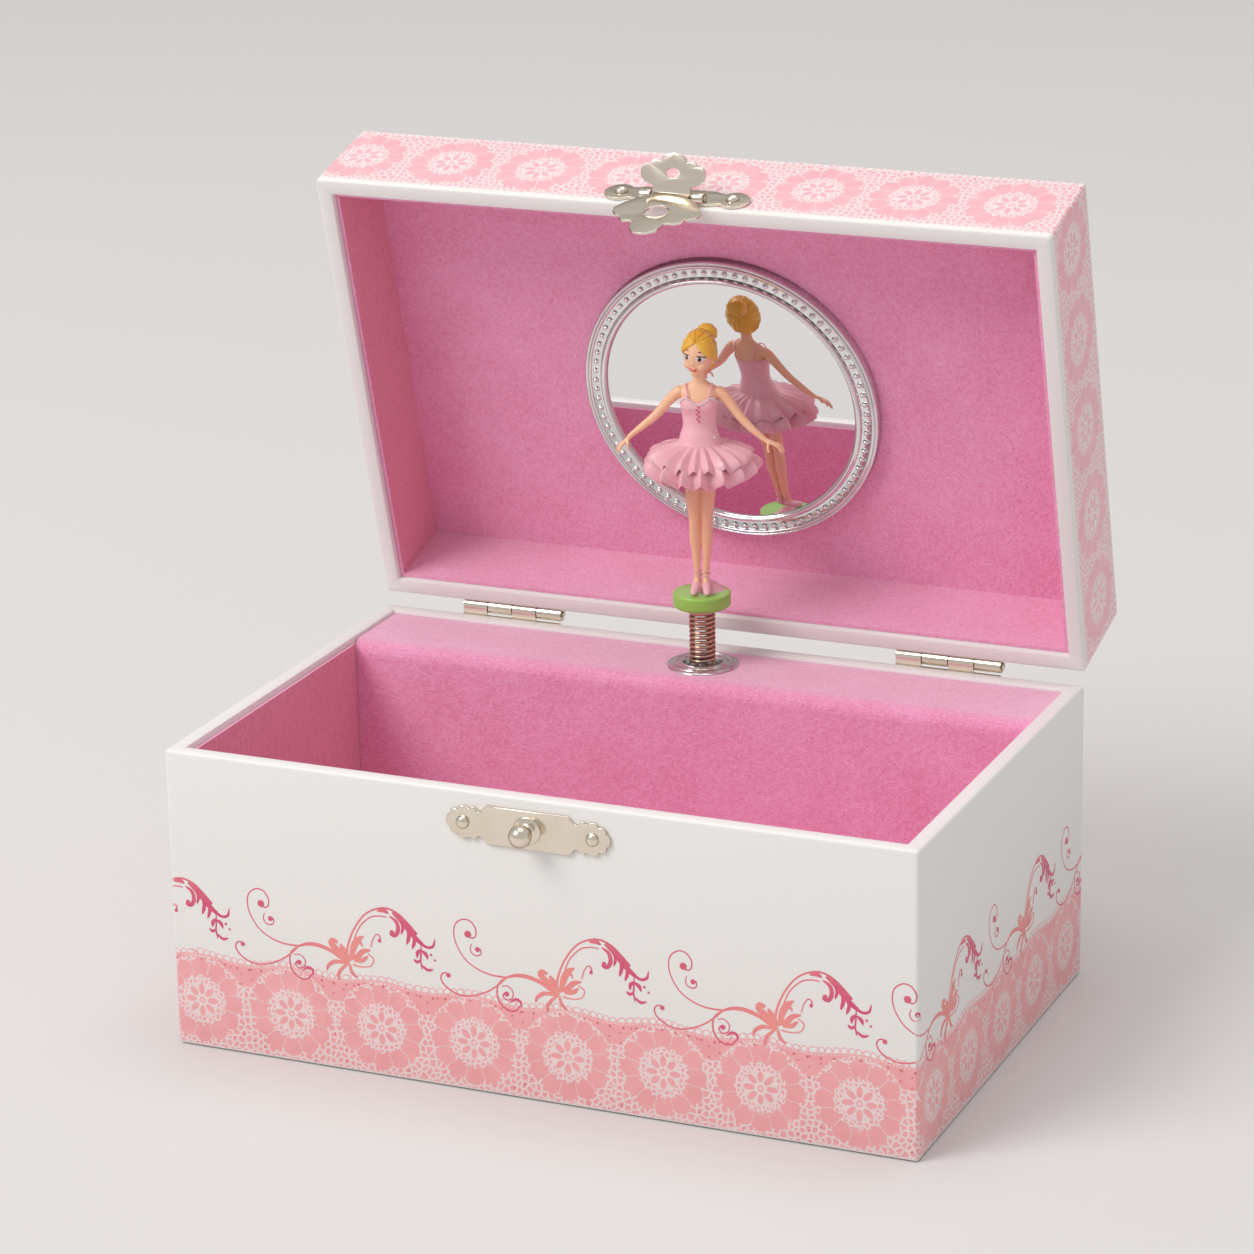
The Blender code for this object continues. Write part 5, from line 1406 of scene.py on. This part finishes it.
def make_stud():
    """A flat flange, a narrow neck and a ball."""
    neck = STUD_NECK_R
    profile = [
        (0.0, 0.0), (2.65, 0.0), (2.75, 0.1), (2.72, 0.22), (2.5, 0.34), (1.6, 0.42), (1.3, 0.6), (neck, 0.9),
    ]
    below = pi - math.asin(neck / STUD_BALL_R)
    for i in range(20):
        angle = below - below * i / 20
        profile.append((STUD_BALL_R * sin(angle), STUD_BALL_Z + STUD_BALL_R * cos(angle)))
    profile.append((0.0, STUD_BALL_Z + STUD_BALL_R))
    bm = bmesh.new()
    add_turned(bm, profile, face_front((0, PLATE_FRONT_Y, LATCH_Z)))
    finish_piece("ball_stud", bm, NICKEL, "base", None, ["latch_stud"], sharp_deg=50)


def make_catch():
    soften_stamping("clasp_plate", "lid", 0.18)
    soften_stamping("hasp_leaf", "hasp", 0.15)
    stamp_latch()
    make_stud()
    for name, x, z, body, matrix in (
        ("latch_screw", LATCH_SCREW_X, LATCH_Z, "base", None),
        ("clasp_screw", CLASP_SCREW_X, CLASP_SCREW_Z, "lid", LID),
    ):
        for side, word in ((-1, "left"), (1, "right")):
            bm = bmesh.new()
            add_dome(bm, (side * x, PLATE_FRONT_Y, z))
            node = f"{name}_{word}"
            finish_piece("dome_" + node, bm, NICKEL, body, matrix, [node], sharp_deg=50)


make_shoes()
make_face(make_skin())
make_hair()
make_hair_trims()
make_bodice()
make_trims()
make_tutu()
make_stand()
make_spring()
make_eyelet()
make_mirror()
make_catch()


# ---- CAD nodes that keep their shape

NODE_MATERIALS = (
    (CARD, ("board",)),
    (FELT, ("bottom_felt",)),
    (FLOCK, ("lining", "ledge_cover")),
    (MIRROR, ("mirror_glass",)),
    (CAST, ("movement_bedplate",)),
    (STEEL, ("music_comb", "mainspring", "arbor", "spindle", "comb_screw")),
    (BRASS, ("note_cylinder", "cylinder_wheel", "spring_barrel", "governor")),
    (COPPER, ("figure_spring",)),
    (EYELET, ("eyelet",)),
    (SILVER, ("mirror_frame",)),
    (SKIN, ("dancer",)),
    (PINK, ("tutu",)),
    (GREEN, ("figure_stand",)),
    (NICKEL, ("hinge", "latch", "clasp", "hasp", "winding_key")),
)


def dress_nodes():
    for name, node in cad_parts.items():
        for material, words in NODE_MATERIALS:
            if any(word in name for word in words):
                for slot in node.material_slots:
                    slot.material = material
                if not node.material_slots:
                    node.data.materials.append(material)
                break


dress_nodes()


# ---- floor and light


def make_stage():
    bm = bmesh.new()
    bmesh.ops.create_grid(bm, x_segments=2, y_segments=2, size=FLOOR_HALF)
    mesh = bpy.data.meshes.new("floor")
    bm.to_mesh(mesh)
    bm.free()
    floor = linked("floor", mesh)
    material, tree, shader = new_material("studio_floor", (0.72, 0.70, 0.69), 0.9)
    cloud = noise(tree, 1.5, 2.0)
    paint(tree, shader, mix(tree, cloud, (0.68, 0.66, 0.652), (0.715, 0.695, 0.685)))
    mesh.materials.append(material)


def make_light():
    world = bpy.data.worlds.new("studio")
    world.use_nodes = True
    sky = world.node_tree.nodes["Background"].inputs
    sky["Color"].default_value = (1.0, 0.985, 0.98, 1)
    sky["Strength"].default_value = WORLD_STRENGTH
    bpy.context.scene.world = world
    for name, place, size, watts, colour in LIGHTS:
        data = bpy.data.lights.new(name, "AREA")
        data.shape = "DISK"
        data.size = size
        data.energy = watts
        data.color = colour
        aim = (Vector(LIGHT_TARGET) - Vector(place)).to_track_quat("-Z", "Y")
        linked(name, data).matrix_world = Matrix.Translation(place) @ aim.to_matrix().to_4x4()
    bpy.context.scene.view_settings.view_transform = "Standard"
    bpy.context.scene.view_settings.look = "None"


make_stage()
make_light()
